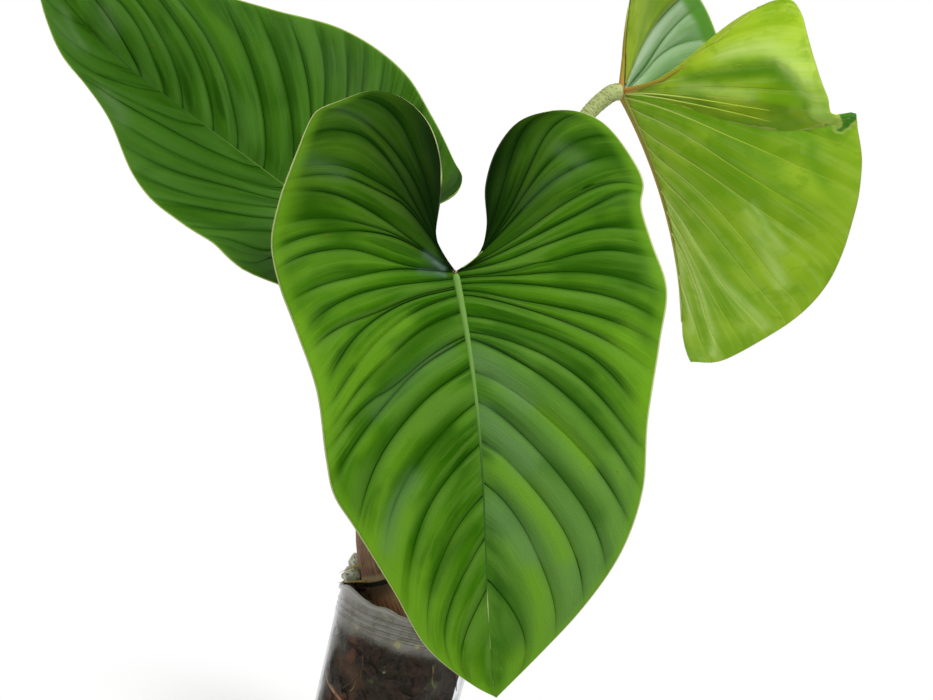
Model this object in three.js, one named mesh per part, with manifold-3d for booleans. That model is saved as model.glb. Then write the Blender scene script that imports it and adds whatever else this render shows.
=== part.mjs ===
// A young heart-leaved climbing philodendron with warty leaf stalks, in a clear plastic pot.
// Millimetres, +Z up, origin at the centre of the pot's underside. Y points away from the viewer.

import * as THREE from 'three';
import { mergeVertices } from 'three/addons/utils/BufferGeometryUtils.js';
import Module from 'manifold-3d';

const wasm = await Module();
wasm.setup();

// Clearance between pieces that touch
const GAP = 0.3;

// Pot
const POT_HEIGHT = 110;
const POT_LIP_RADIUS = 41.4;
const POT_RIM_RADIUS = 40.2;
const POT_BASE_RADIUS = 37.2;
const POT_WALL = 1.0;
const POT_FLOOR = 1.5;
const POT_CORNER = 2;
const POT_SEGMENTS = 44;
const RING_COUNT = 3;
const RING_PITCH = 3;
const RING_DEPTH = 0.6;
const RING_TOP = 104;

// Potting mix
const MIX_LEVEL = 99;
const MIX_CLEAR = 2.2;
const MIX_SEGMENTS = 28;
const MIX_RINGS = [0.97, 0.8, 0.55, 0.3];
const MOUND_CENTRE = [-24, 4];
const MOUND_HEIGHT = 14;
const MOUND_RADIUS = 24;
const TOP_BARK_COUNT = 13;
const WALL_BARK_COUNT = 9;
const BARK_SIZE = [11, 7, 4];
const BARK_TILT = 0.45;
const STONE_RADIUS = 4.8;
const STONES = [
  [-30, -13, 105], [-34, -2, 108], [-35, 7, 109], [-36.5, 4, 115], [-38, 7, 121], [-37, 3, 123],
  [-31, 13, 111], [-30, 14, 116], [-22, 20, 107], [-12, -24, 101], [10, -20, 101], [24, 6, 101], [4, 25, 101],
];
const WALL_ROOT_COUNT = 3;
const WALL_ROOT_RADIUS = 1.4;
const WALL_ROOT_TOP = 88;

// Stem: a short leaning stretch, from inside the mix to the crown
const STEM_POINTS = [[-5, 0, 72], [-9, 0, 98], [-19, 0, 116], [-27, 0, 132], [-32, 0, 148]];
const STEM_RADIUS = 8;
const STEM_FOOT_RADIUS = 6.5;
const STEM_NODE_SWELL = 0.7;
const STEM_NODES = 4;

// Dry sheaths round the stem, each from and to a share of the stem's length; the inner layer is 0
const SHEATHS = [
  { layer: 2, from: 0.34, to: 0.82, facing: -60, span: 170 },
  { layer: 0, from: 0.50, to: 1.06, facing: 185, span: 170 },
  { layer: 1, from: 0.40, to: 0.92, facing: 80, span: 160 },
];
const SHEATH_THICKNESS = 0.8;
const SHEATH_SPREAD = 6;
const SHEATH_COLUMNS = 8;
const SHEATH_ROWS = 7;

// Two bare roots run from the stem's foot over the mix and past the rim on the left
const SURFACE_ROOTS = [
  [[-25, -8, 125], [-31, -11, 124.5], [-37, -9, 121.5], [-42.5, -6, 117]],
  [[-21, -9, 117], [-28, -13, 116.5], [-35, -12, 114.2], [-42, -8, 111.9]],
];
const ROOT_RADIUS = 0.9;
const ROOT_TAPER = 0.35;

// Leaf stalks
const STALK_BASE_RADIUS = 3.4;
const STALK_TOP_RADIUS = 3.9;
const STALK_RING = 4.6;
const STALK_HEEL = 12;
const STALK_SIDES = 10;
const STALK_STEP = 8;
const WART_HEIGHT = 0.3;
const KNOB_RADIUS = 4.7;

// Leaf blades
const BLADE_THICKNESS = 0.9;
const RIB_DEPTH = 1.4;
const HOLE_RADIUS = KNOB_RADIUS + GAP + 0.1;
const VEINS = 18;
const BASAL_SHARE = 0.39;
const HOLE_SHARE = 0.6;
const ROWS = 2 * VEINS;
const COLUMNS = 8;
const PLEAT = 2.6;

// Each leaf: its stalk's end, where its midrib points, how far the midrib bows and hooks sideways, how each
// half rolls, and each half's outline, from the bare rib's end round the lobe (its top is point lobeTop) to
// the tip. The left half is on the left where the upper face is seen with its tip down. The stalk's list
// holds the points on its way from the crown.
const LEAVES = {
  front: {
    joint: [-21, -82, 295],
    azimuth: 57.7, elevation: -62.9, roll: 44.3, size: 1, droop: 0.002, bow: -4, hook: 0,
    left: {
      rise: -10, rolls: [[220, -0.12]], curl: -0.0005, wave: [1.5, 2.5, 0.2], lobeTop: 6,
      outline: [[10, -13], [7, -23], [1, -46], [-1, -66], [3, -87], [14, -103], [29, -110], [48, -107],
        [66, -95], [73, -77], [83, -55], [90, -33], [90, -17], [84, 17], [79, 50], [80, 85], [79, 102],
        [71, 119], [54, 153], [38, 184], [13, 208], [0, 217]],
    },
    right: {
      rise: 22, rolls: [[100, -0.05], [220, -0.12]], curl: 0.0007, wave: [1.5, 2.5, 2.0], lobeTop: 5,
      outline: [[16, -11], [19, -22], [21, -43], [30, -63], [45, -77], [62, -80], [84, -70], [97, -45],
        [100, -31], [97, -19], [99, 2], [101, 26], [92, 52], [79, 89], [72, 123], [60, 151], [42, 176],
        [21, 198], [0, 217]],
    },
    stalk: [[-35, -8, 185], [-34, -17, 225], [-28, -38, 262], [-22, -66, 286]],
  },
  left: {
    joint: [-109, 74, 304],
    azimuth: -80.7, elevation: 22.4, roll: -81.3, size: 1.05, droop: -0.0006, bow: 0, hook: 18,
    left: {
      rise: 3, rolls: [[100, -0.23], [220, -0.59]], curl: 0.0002, wave: [1.2, 3, 1.0], lobeTop: 5,
      outline: [[9, -16], [19, -28], [36, -43], [50, -56], [61, -64], [71, -67], [78, -64], [81, -52],
        [91, -24], [99, 4], [94, 48], [77, 87], [59, 125], [49, 146], [36, 166], [18, 182], [6, 195],
        [0, 206]],
    },
    right: {
      rise: 62, rolls: [[220, 0]], curl: 0.0034, wave: [1.5, 3, 0.5], lobeTop: 4,
      outline: [[13, -12], [17, -28], [20, -44], [28, -60], [42, -72], [65, -72], [85, -56], [91, -23],
        [96, 17], [89, 60], [73, 95], [57, 122], [51, 140], [47, 160], [36, 176], [22, 189], [9, 198],
        [0, 206]],
    },
    stalk: [[-50, 22, 185], [-72, 56, 212], [-96, 84, 248], [-108, 86, 280]],
  },
  right: {
    joint: [43, 41, 413],
    azimuth: 134.8, elevation: -35.3, roll: 54.3, size: 1.05, droop: 0.0019, bow: 0, hook: 0,
    left: {
      rise: 42.5, rolls: [[80, 0.32], [220, 1.19]], curl: -0.0034, wave: [1.5, 3, 0], lobeTop: 3,
      outline: [[26, -8], [46, -23], [60, -45], [71, -68], [86, -68], [101, -44], [111, -15], [117, 13],
        [126, 21], [123, 40], [121, 59], [107, 92], [81, 127], [50, 165], [25, 196], [0, 210]],
    },
    right: {
      rise: 1, rolls: [[150, 0.15], [260, 0.3]], curl: -0.0045, wave: [1.5, 3, 1.5], lobeTop: 4,
      outline: [[13, -13], [18, -27], [22, -42], [29, -60], [41, -73], [56, -77], [82, -66], [95, -35],
        [94, -3], [99, 28], [95, 67], [87, 98], [74, 138], [50, 176], [24, 202], [0, 210]],
    },
    stalk: [[-21, 12, 190], [-6, 25, 240], [3, 34, 290], [5, 39, 330], [9, 41, 360], [16, 42, 382],
      [28, 42, 400]],
  },
};

// Helpers

const radians = THREE.MathUtils.degToRad;
const mix = THREE.MathUtils.lerp;
const clamp = THREE.MathUtils.clamp;
const smooth = (x) => THREE.MathUtils.smoothstep(x, 0, 1);
const vector = (point) => new THREE.Vector3(...point);

function randomStream(seed) {
  let state = seed;
  return () => {
    state = (state * 1664525 + 1013904223) % 4294967296;
    return state / 4294967296;
  };
}

function toSolid(geometry) {
  const bare = new THREE.BufferGeometry();
  bare.setAttribute('position', geometry.getAttribute('position'));
  bare.setIndex(geometry.getIndex());
  const merged = mergeVertices(bare, 1e-4);
  return new wasm.Manifold(new wasm.Mesh({
    numProp: 3,
    vertProperties: new Float32Array(merged.getAttribute('position').array),
    triVerts: new Uint32Array(merged.getIndex().array),
  }));
}

function toGeometry(solid) {
  const mesh = solid.getMesh();
  const geometry = new THREE.BufferGeometry();
  geometry.setAttribute('position', new THREE.BufferAttribute(mesh.vertProperties, 3));
  geometry.setIndex(new THREE.BufferAttribute(mesh.triVerts, 1));
  return geometry;
}

// The biggest body of a solid, without the scraps that a cut leaves
function largest(solid) {
  return solid.decompose().reduce((best, body) => (body.volume() > best.volume() ? body : best));
}

function cutBy(solid, cutters) {
  return cutters.reduce((rest, cutter) => rest.subtract(cutter), solid);
}

// A round body from a profile of radius and height
function lathe(profile, segments) {
  const geometry = new THREE.LatheGeometry(profile.map(([x, y]) => new THREE.Vector2(x, y)), segments);
  return geometry.rotateX(Math.PI / 2);
}

// A tube along a curve, whose radius follows the share along it and the vertex's side and ring
function tube(path, sides, steps, radiusAt) {
  const circle = new THREE.Shape(Array.from({ length: sides }, (unused, side) => {
    const turn = (2 * Math.PI * side) / sides;
    return new THREE.Vector2(Math.cos(turn), Math.sin(turn));
  }));
  const geometry = new THREE.ExtrudeGeometry(circle, { steps, extrudePath: path });
  const centres = path.getSpacedPoints(steps);
  const frames = path.computeFrenetFrames(steps, false);
  const position = geometry.getAttribute('position');
  const point = new THREE.Vector3();
  for (let i = 0; i < position.count; i += 1) {
    point.fromBufferAttribute(position, i);
    const distances = centres.map((centre) => centre.distanceToSquared(point));
    const ring = distances.indexOf(Math.min(...distances));
    const arm = point.clone().sub(centres[ring]);
    const turn = Math.atan2(arm.dot(frames.binormals[ring]), arm.dot(frames.normals[ring]));
    const side = Math.round((turn / (2 * Math.PI)) * sides);
    arm.multiplyScalar(radiusAt(ring / steps, side, ring)).add(centres[ring]);
    position.setXYZ(i, arm.x, arm.y, arm.z);
  }
  return geometry;
}

function pushQuad(index, [a, b, c, d], flip) {
  if (flip) {
    index.push(a, c, b, a, d, c);
  } else {
    index.push(a, b, c, a, c, d);
  }
}

function meshOf(positions, index) {
  const geometry = new THREE.BufferGeometry();
  geometry.setAttribute('position', new THREE.Float32BufferAttribute(positions, 3));
  geometry.setIndex(index);
  return geometry;
}

// A closed plate between two like faces; sheet holds one face's triangles, seen from its upper side
function plate(upper, lower, sheet) {
  const count = upper.length;
  const positions = [...upper, ...lower].flatMap((point) => point.toArray());
  const index = [...sheet];
  const edges = new Map();
  for (let i = 0; i < sheet.length; i += 3) {
    const corners = [sheet[i], sheet[i + 1], sheet[i + 2]];
    index.push(corners[0] + count, corners[2] + count, corners[1] + count);
    corners.forEach((a, corner) => {
      const b = corners[(corner + 1) % 3];
      edges.set(`${a},${b}`, [a, b]);
    });
  }

  // Walls close every edge that only one triangle has
  edges.forEach(([a, b]) => {
    if (!edges.has(`${b},${a}`)) {
      pushQuad(index, [b, a, a + count, b + count], false);
    }
  });
  return meshOf(positions, index);
}

function named(name, geometry, color, roughness, extra = {}) {
  const material = new THREE.MeshStandardMaterial({ color, roughness, metalness: 0, ...extra });
  const mesh = new THREE.Mesh(geometry, material);
  mesh.name = name;
  return mesh;
}

// Pot: a thin tapered cup with stacking rings under its lip

function potRadius(height) {
  return mix(POT_BASE_RADIUS, POT_RIM_RADIUS, height / POT_HEIGHT);
}

function makePot() {
  const outer = [[0, 0], [POT_BASE_RADIUS - POT_CORNER, 0], [potRadius(POT_CORNER), POT_CORNER]];
  for (let ring = RING_COUNT - 1; ring >= 0; ring -= 1) {
    const top = RING_TOP - ring * RING_PITCH;
    outer.push([potRadius(top - 2), top - 2]);
    outer.push([potRadius(top) + RING_DEPTH, top - 1]);
    outer.push([potRadius(top), top]);
  }
  const lip = [
    [potRadius(POT_HEIGHT - 2.2), POT_HEIGHT - 2.2],
    [POT_LIP_RADIUS, POT_HEIGHT - 1.6],
    [POT_LIP_RADIUS, POT_HEIGHT - 0.5],
    [POT_LIP_RADIUS - 0.7, POT_HEIGHT],
    [POT_RIM_RADIUS - POT_WALL, POT_HEIGHT - 0.6],
  ];
  const inner = [
    [potRadius(POT_FLOOR + 1) - POT_WALL, POT_FLOOR + 1],
    [POT_BASE_RADIUS - 2 * POT_CORNER, POT_FLOOR],
    [0, POT_FLOOR],
  ];
  const geometry = lathe([...outer, ...lip, ...inner], POT_SEGMENTS);
  return named('pot', geometry, 0xb9bec0, 0.25, { transparent: true, opacity: 0.35 });
}

// Stem: leans to the left, with a few swollen rings

const stemPath = new THREE.CatmullRomCurve3(STEM_POINTS.map(vector));

function stemSolid(extra) {
  const radiusAt = (share) => {
    const swell = Math.max(0, Math.cos(2 * Math.PI * STEM_NODES * share)) * STEM_NODE_SWELL;
    return mix(STEM_FOOT_RADIUS, STEM_RADIUS, smooth(share * 2)) + swell + extra;
  };
  return toSolid(tube(stemPath, 14, 16, radiusAt));
}

// The stem's centre, direction and two arms square to it, at a share of its length that may pass its end
function stemFrame(share) {
  const inside = clamp(share, 0, 1);
  const along = stemPath.getTangentAt(inside);
  const centre = stemPath.getPointAt(inside).addScaledVector(along, (share - inside) * stemPath.getLength());
  const away = new THREE.Vector3(0, 1, 0);
  const across = new THREE.Vector3().crossVectors(away, along).normalize();
  return { centre, along, across, away };
}

// Potting mix: bark and pumice, heaped round the stem, with roots against the pot's wall

function mixRadius(height) {
  return potRadius(height) - POT_WALL - MIX_CLEAR;
}

function mixTop(x, y) {
  const reach = Math.hypot(x - MOUND_CENTRE[0], y - MOUND_CENTRE[1]) / MOUND_RADIUS;
  const ripple = 0.8 * Math.sin(0.31 * x + 1) * Math.cos(0.27 * y);
  return MIX_LEVEL + MOUND_HEIGHT * (1 - smooth(reach)) + ripple;
}

function mixBody() {
  const bottom = POT_FLOOR + GAP;
  const shoulder = MIX_LEVEL - 3;
  const body = lathe([
    [0, bottom],
    [mixRadius(bottom) - 3, bottom],
    [mixRadius(8), 8],
    [mixRadius(50), 50],
    [mixRadius(shoulder), shoulder],
    ...MIX_RINGS.map((share) => [share * mixRadius(MIX_LEVEL), MIX_LEVEL]),
    [0, MIX_LEVEL],
  ], MIX_SEGMENTS);
  const position = body.getAttribute('position');
  for (let i = 0; i < position.count; i += 1) {
    if (position.getZ(i) > MIX_LEVEL - 0.5) {
      position.setZ(i, mixTop(position.getX(i), position.getY(i)));
    }
  }
  return toSolid(body);
}

function barkChip(random) {
  const scale = 0.75 + 0.5 * random();
  const chip = new THREE.BoxGeometry(...BARK_SIZE.map((edge) => edge * scale));
  chip.rotateX((2 * random() - 1) * BARK_TILT);
  return chip.rotateY((2 * random() - 1) * BARK_TILT);
}

function topChip(random) {
  const reach = 27 * Math.sqrt(random());
  const turn = 2 * Math.PI * random();
  const x = reach * Math.cos(turn);
  const y = reach * Math.sin(turn);
  return toSolid(barkChip(random).rotateZ(Math.PI * random()).translate(x, y, mixTop(x, y) + 0.4));
}

function wallChip(random) {
  const turn = 2 * Math.PI * random();
  const height = 12 + 80 * random();
  const reach = mixRadius(height) - 0.9;
  const chip = barkChip(random).rotateZ(turn + Math.PI / 2);
  return toSolid(chip.translate(reach * Math.cos(turn), reach * Math.sin(turn), height));
}

function stone([x, y, z], random) {
  const geometry = new THREE.IcosahedronGeometry(STONE_RADIUS * (0.85 + 0.3 * random()), 0);
  return toSolid(geometry.rotateX(3 * random()).rotateZ(3 * random()).translate(x, y, z));
}

// A root winds down inside the wall
function wallRoot(order) {
  const points = Array.from({ length: 6 }, (unused, step) => {
    const height = WALL_ROOT_TOP - 14 * step - 6 * order;
    const turn = 2.2 + 2.1 * order + 0.32 * step + 0.1 * Math.sin(2 * step);
    return new THREE.Vector3(mixRadius(height) * Math.cos(turn), mixRadius(height) * Math.sin(turn), height);
  });
  return toSolid(tube(new THREE.CatmullRomCurve3(points), 6, 14, () => WALL_ROOT_RADIUS));
}

// The space that the mix may fill: inside the pot's wall, and free above its rim
function mixSpace() {
  const wall = (height) => potRadius(height) - POT_WALL - 2 * GAP;
  const bottom = POT_FLOOR + GAP;
  const above = POT_HEIGHT + GAP;
  const high = POT_HEIGHT + 25;
  return toSolid(lathe([
    [0, bottom],
    [wall(bottom) - 2.5, bottom],
    [wall(bottom), POT_FLOOR + 3],
    [wall(above), above],
    [POT_LIP_RADIUS + 1, above],
    [POT_LIP_RADIUS + 1, high],
    [0, high],
  ], MIX_SEGMENTS));
}

function makeMix(holes) {
  const random = randomStream(7);
  const pieces = [
    ...Array.from({ length: TOP_BARK_COUNT }, () => topChip(random)),
    ...Array.from({ length: WALL_BARK_COUNT }, () => wallChip(random)),
    ...STONES.map((place) => stone(place, random)),
    ...Array.from({ length: WALL_ROOT_COUNT }, (unused, order) => wallRoot(order)),
  ];
  const heap = pieces.reduce((sum, piece) => sum.add(piece), mixBody());
  const solid = cutBy(heap.intersect(mixSpace()), holes);
  return named('potting_mix', toGeometry(largest(solid)), 0x3a2a1e, 0.95);
}

// A point on a sheath: u across from -1 to 1, v up from 0 to 1
function sheathPoint(sheath, u, v, lift) {
  const share = mix(sheath.from, sheath.to, v);
  const { centre, across, away } = stemFrame(share);
  const narrowing = 1 - 0.85 * v ** 3;
  const turn = radians(sheath.facing + (u * narrowing * sheath.span) / 2);
  const opening = SHEATH_SPREAD * Math.max(0, share - 0.4) ** 2 * (1 + 0.15 * Math.cos(5 * turn));
  const layer = (SHEATH_THICKNESS + 2 * GAP) * sheath.layer;
  const reach = STEM_RADIUS + STEM_NODE_SWELL + GAP + layer + opening + lift;
  return centre.addScaledVector(across, reach * Math.cos(turn)).addScaledVector(away, reach * Math.sin(turn));
}

// A sheath, grown by extra on every side
function sheathSheet(sheath, extra) {
  const grown = { ...sheath, from: sheath.from - extra / 40, span: sheath.span + 8 * extra };
  const face = (lift) => {
    const points = [];
    for (let i = 0; i <= SHEATH_COLUMNS; i += 1) {
      for (let j = 0; j <= SHEATH_ROWS; j += 1) {
        points.push(sheathPoint(grown, (2 * i) / SHEATH_COLUMNS - 1, j / SHEATH_ROWS, lift));
      }
    }
    return points;
  };
  const sheet = [];
  const at = (i, j) => i * (SHEATH_ROWS + 1) + j;
  for (let i = 0; i < SHEATH_COLUMNS; i += 1) {
    for (let j = 0; j < SHEATH_ROWS; j += 1) {
      pushQuad(sheet, [at(i, j), at(i + 1, j), at(i + 1, j + 1), at(i, j + 1)], false);
    }
  }
  return plate(face(SHEATH_THICKNESS + extra), face(-extra), sheet);
}

function makeSheath(sheath, index) {
  return named(`cataphyll_${index + 1}`, sheathSheet(sheath, 0), 0x6f4630, 0.9);
}

// Surface roots

function rootSolid(points, extra) {
  const path = new THREE.CatmullRomCurve3(points.map(vector));
  return toSolid(tube(path, 7, 10, (share) => ROOT_RADIUS * (1 - ROOT_TAPER * share) + extra));
}

function makeRoot(points, index, neighbours) {
  const solid = largest(cutBy(rootSolid(points, 0), neighbours));
  return named(`root_${index + 1}`, toGeometry(solid), 0xa8843a, 0.7);
}

// Leaf blades. In the flat blade y runs along the midrib to the tip and x sideways, both from the stalk's end.

class HalfBlade {
  constructor(leaf, half, side) {
    this.leaf = leaf;
    this.half = half;
    this.side = side;
    const points = half.outline.map(([x, y]) => new THREE.Vector3(side * x, y, 0).multiplyScalar(leaf.size));
    this.curve = new THREE.CatmullRomCurve3(points);
    this.curve.arcLengthDivisions = 1200;
    const lengths = this.curve.getLengths();
    const mark = Math.round((half.lobeTop / (points.length - 1)) * this.curve.arcLengthDivisions);
    this.lobeShare = lengths[mark] / lengths[lengths.length - 1];
    this.ribEnd = points[0];
    this.ribAngle = Math.atan2(side * this.ribEnd.x, this.ribEnd.y);
    this.tip = points[points.length - 1].y;
  }

  sinus(share) {
    return this.curve.getPointAt(share * this.lobeShare);
  }

  margin(share) {
    return this.curve.getPointAt(mix(this.lobeShare, 1, share));
  }

  marginTangent(share) {
    return this.curve.getTangentAt(mix(this.lobeShare, 1, share));
  }

  // Veins leave the rim of the stalk's hole, then the bare rib, and then the midrib
  spine(t) {
    if (t >= BASAL_SHARE) {
      const along = ((t - BASAL_SHARE) / (1 - BASAL_SHARE)) ** 2;
      return new THREE.Vector3(0, mix(HOLE_RADIUS, this.tip, along), 0);
    }
    const back = 1 - t / BASAL_SHARE;
    const turn = this.ribAngle * Math.sqrt(Math.min(1, back / HOLE_SHARE));
    const along = Math.max(0, (back - HOLE_SHARE) / (1 - HOLE_SHARE));
    const reach = mix(HOLE_RADIUS, this.ribEnd.length(), along);
    return new THREE.Vector3(this.side * Math.sin(turn) * reach, Math.cos(turn) * reach, 0);
  }

  // A vein as a Bezier curve; t picks the vein and v runs along it
  bezier(t, v, start, startAngle, leaveAngle) {
    const end = this.margin(t);
    const reach = end.distanceTo(start);
    const tangent = this.marginTangent(t);
    const leave = radians(leaveAngle) * this.side;
    const outward = new THREE.Vector3(
      tangent.x * Math.cos(leave) + tangent.y * Math.sin(leave),
      -tangent.x * Math.sin(leave) + tangent.y * Math.cos(leave), 0);
    const first = new THREE.Vector3(this.side * Math.sin(startAngle), Math.cos(startAngle), 0);
    const curve = new THREE.CubicBezierCurve3(start, start.clone().addScaledVector(first, 0.3 * reach),
      end.clone().addScaledVector(outward, -0.36 * reach), end);
    return curve.getPoint(v);
  }

  vein(t, v) {
    const startAngle = t < BASAL_SHARE
      ? mix(this.ribAngle, radians(92), t / BASAL_SHARE)
      : mix(radians(92), radians(36), (t - BASAL_SHARE) / (1 - BASAL_SHARE));
    const leaveAngle = t < 0.2 ? mix(0, 70, t / 0.2) : mix(70, 30, (t - 0.2) / 0.8);
    const point = this.bezier(t, v, this.spine(t), startAngle, leaveAngle);

    // The first veins bend to run along the notch between the lobes
    const near = Math.max(0, 1 - t / 0.12) ** 2;
    if (near > 0) {
      const edge = this.sinus(v).sub(this.bezier(0, v, this.ribEnd, this.ribAngle, 0));
      point.addScaledVector(edge, near);
    }
    return point;
  }

  // The angle of a flat point from the midrib, which passes a half turn behind the stalk
  angleOf(flat) {
    const angle = Math.atan2(this.side * flat.x, flat.y);
    if (angle >= 0) {
      return angle;
    }
    return flat.y < 0 ? angle + 2 * Math.PI : 0;
  }

  // The flat blade is rolled as a cone about the stalk's end: the unit ray at an angle, and its normal
  ray(angle) {
    const rise = radians(this.half.rise);
    const ray = new THREE.Vector3(0, 1, 0);
    const sideways = new THREE.Vector3(this.side * Math.cos(rise), 0, Math.sin(rise));
    const normal = new THREE.Vector3(-this.side * Math.sin(rise), 0, Math.cos(rise));
    let from = 0;
    for (const [end, roll] of this.half.rolls) {
      const turn = clamp(angle - from, 0, radians(end) - from);
      const speed = Math.hypot(1, roll);
      const centre = ray.clone().negate().addScaledVector(normal, roll);
      const step = sideways.clone().multiplyScalar(Math.sin(turn * speed) / speed)
        .addScaledVector(centre, (1 - Math.cos(turn * speed)) / speed ** 2);
      sideways.multiplyScalar(Math.cos(turn * speed)).addScaledVector(centre, Math.sin(turn * speed) / speed);
      ray.add(step);
      normal.addScaledVector(step, -roll);
      from = radians(end);
    }
    return { ray, normal };
  }

  // Each ray droops with its length, and the midrib's stretch bows and hooks sideways
  bend(flat, lift) {
    const { leaf, half } = this;
    const reach = flat.length();
    const angle = this.angleOf(flat);
    const { ray, normal } = this.ray(angle);
    const blend = smooth(angle / radians(50));
    const droopAxis = new THREE.Vector3(0, 0, 1 - blend).addScaledVector(normal, blend).normalize();
    const bending = mix(leaf.droop, half.curl, blend) || 1e-7;
    const bent = ray.multiplyScalar(Math.sin(bending * reach) / bending)
      .addScaledVector(droopAxis, lift - (1 - Math.cos(bending * reach)) / bending);
    const along = clamp(bent.y / this.tip, 0, 1);
    bent.x += leaf.bow * Math.sin(Math.PI * along) + leaf.hook * Math.max(0, (along - 0.6) / 0.4) ** 2;
    return bent;
  }

  // Pillows between sunken veins, and a slow wave that grows towards the margin
  relief(t, v) {
    const pillow = Math.abs(Math.sin(Math.PI * VEINS * t));
    const opening = mix(v ** 0.8, 0.35 + 0.65 * v ** 0.8, smooth((t - BASAL_SHARE) / 0.15));
    const [height, cycles, phase] = this.half.wave;
    const wave = height * v ** 3 * Math.sin(2 * Math.PI * cycles * t + phase) * smooth((1 - t) / 0.1);
    return PLEAT * (pillow - 0.5) * opening * (1 - v ** 5) * smooth((1 - t) / 0.15) + wave;
  }

  point(t, v) {
    return this.bend(this.vein(t, v), this.relief(t, v));
  }
}

// The vertices of a blade's sheet, row by row; both halves share those on the midrib
function bladeGrids(halves, points, depths) {
  const firstMidrib = Math.ceil(BASAL_SHARE * ROWS);
  const midrib = new Map();
  const add = (point, depth) => {
    depths.push(depth);
    return points.push(point) - 1;
  };
  const midribVertex = (half, row, t, depth) => {
    if (!midrib.has(row)) {
      midrib.set(row, add(half.bend(half.spine(t), 0), depth));
    }
    return midrib.get(row);
  };
  return halves.map((half) => Array.from({ length: ROWS }, (unusedRow, row) => {
    // The row next to the midrib's start sits on it
    const t = row === firstMidrib ? BASAL_SHARE : row / ROWS;
    const thinning = 1 - 0.8 * Math.max(0, (t - BASAL_SHARE) / (1 - BASAL_SHARE));
    return Array.from({ length: COLUMNS + 1 }, (unusedColumn, column) => {
      if (column > 0) {
        return add(half.point(t, (column / COLUMNS) ** 1.25), 0);
      }
      const depth = RIB_DEPTH * thinning;
      return row >= firstMidrib ? midribVertex(half, row, t, depth) : add(half.point(t, 0), depth);
    });
  }));
}

// Triangles of the sheet, upper side out, with a fan to the tip
function bladeTriangles(grids, tip) {
  const sheet = [];
  grids.forEach((grid, which) => {
    const flip = which === 0;
    for (let row = 0; row < ROWS - 1; row += 1) {
      const [line, next] = [grid[row], grid[row + 1]];
      for (let column = 0; column < COLUMNS; column += 1) {
        pushQuad(sheet, [line[column], line[column + 1], next[column + 1], next[column]], flip);
      }
    }
    const last = grid[ROWS - 1];
    for (let column = 0; column < COLUMNS; column += 1) {
      const fan = [last[column], last[column + 1], tip];
      sheet.push(...(flip ? fan.reverse() : fan));
    }
  });
  return sheet;
}

function vertexNormals(points, sheet) {
  const normals = points.map(() => new THREE.Vector3());
  const face = new THREE.Vector3();
  for (let i = 0; i < sheet.length; i += 3) {
    const corners = [sheet[i], sheet[i + 1], sheet[i + 2]];
    const [a, b, c] = corners.map((corner) => points[corner]);
    face.crossVectors(b.clone().sub(a), c.clone().sub(a));
    corners.forEach((corner) => normals[corner].add(face));
  }
  return normals.map((normal) => normal.normalize());
}

function bladeGeometry(leaf) {
  const halves = [new HalfBlade(leaf, leaf.left, 1), new HalfBlade(leaf, leaf.right, -1)];
  const points = [halves[0].bend(new THREE.Vector3(0, halves[0].tip, 0), 0)];
  const depths = [0];
  const sheet = bladeTriangles(bladeGrids(halves, points, depths), 0);
  const normals = vertexNormals(points, sheet);
  const half = BLADE_THICKNESS / 2;
  const upper = points.map((point, i) => point.clone().addScaledVector(normals[i], half));
  const lower = points.map((point, i) => point.clone().addScaledVector(normals[i], -half - depths[i]));
  return plate(upper, lower, sheet);
}

// Frame of a blade: columns are sideways, along the midrib and out of the upper face
function bladeFrame(leaf) {
  const azimuth = radians(leaf.azimuth);
  const elevation = radians(leaf.elevation);
  const roll = radians(leaf.roll);
  const midrib = new THREE.Vector3(Math.cos(elevation) * Math.sin(azimuth),
    -Math.cos(elevation) * Math.cos(azimuth), Math.sin(elevation));
  const level = new THREE.Vector3(-Math.sin(elevation) * Math.sin(azimuth),
    Math.sin(elevation) * Math.cos(azimuth), Math.cos(elevation));
  const flank = new THREE.Vector3().crossVectors(midrib, level);
  const up = level.multiplyScalar(Math.cos(roll)).addScaledVector(flank, Math.sin(roll));
  const sideways = new THREE.Vector3().crossVectors(midrib, up);
  return new THREE.Matrix4().makeBasis(sideways, midrib, up).setPosition(...leaf.joint);
}

function makeBlade(name, leaf, color) {
  const geometry = bladeGeometry(leaf).applyMatrix4(bladeFrame(leaf));
  return named(`leaf_${name}`, geometry, color, 0.45);
}

// Leaf stalks stand side by side on the crown and end in a knob inside the blade's hole

function makeStalk(name, leaf, turn) {
  const { centre, along, across, away } = stemFrame(1);
  const foot = centre.addScaledVector(across, STALK_RING * Math.cos(radians(turn)))
    .addScaledVector(away, STALK_RING * Math.sin(radians(turn))).addScaledVector(along, GAP);
  const heel = foot.clone().addScaledVector(along, STALK_HEEL);
  const path = new THREE.CatmullRomCurve3([foot, heel, ...leaf.stalk.map(vector), vector(leaf.joint)]);
  path.arcLengthDivisions = 800;
  const steps = Math.round(path.getLength() / STALK_STEP);
  const radiusAt = (share, side, ring) => {
    const odd = Math.abs(side + ring) % 2 === 1;
    const wart = odd && share > 0.06 && share < 0.97 ? WART_HEIGHT : 0;
    return mix(STALK_BASE_RADIUS, STALK_TOP_RADIUS, share) + wart;
  };
  const knob = new THREE.IcosahedronGeometry(KNOB_RADIUS, 1).translate(...leaf.joint);
  const solid = toSolid(tube(path, STALK_SIDES, steps, radiusAt)).add(toSolid(knob));
  return named(`petiole_${name}`, toGeometry(solid), 0x9aa678, 0.7);
}

// Assembly

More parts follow.
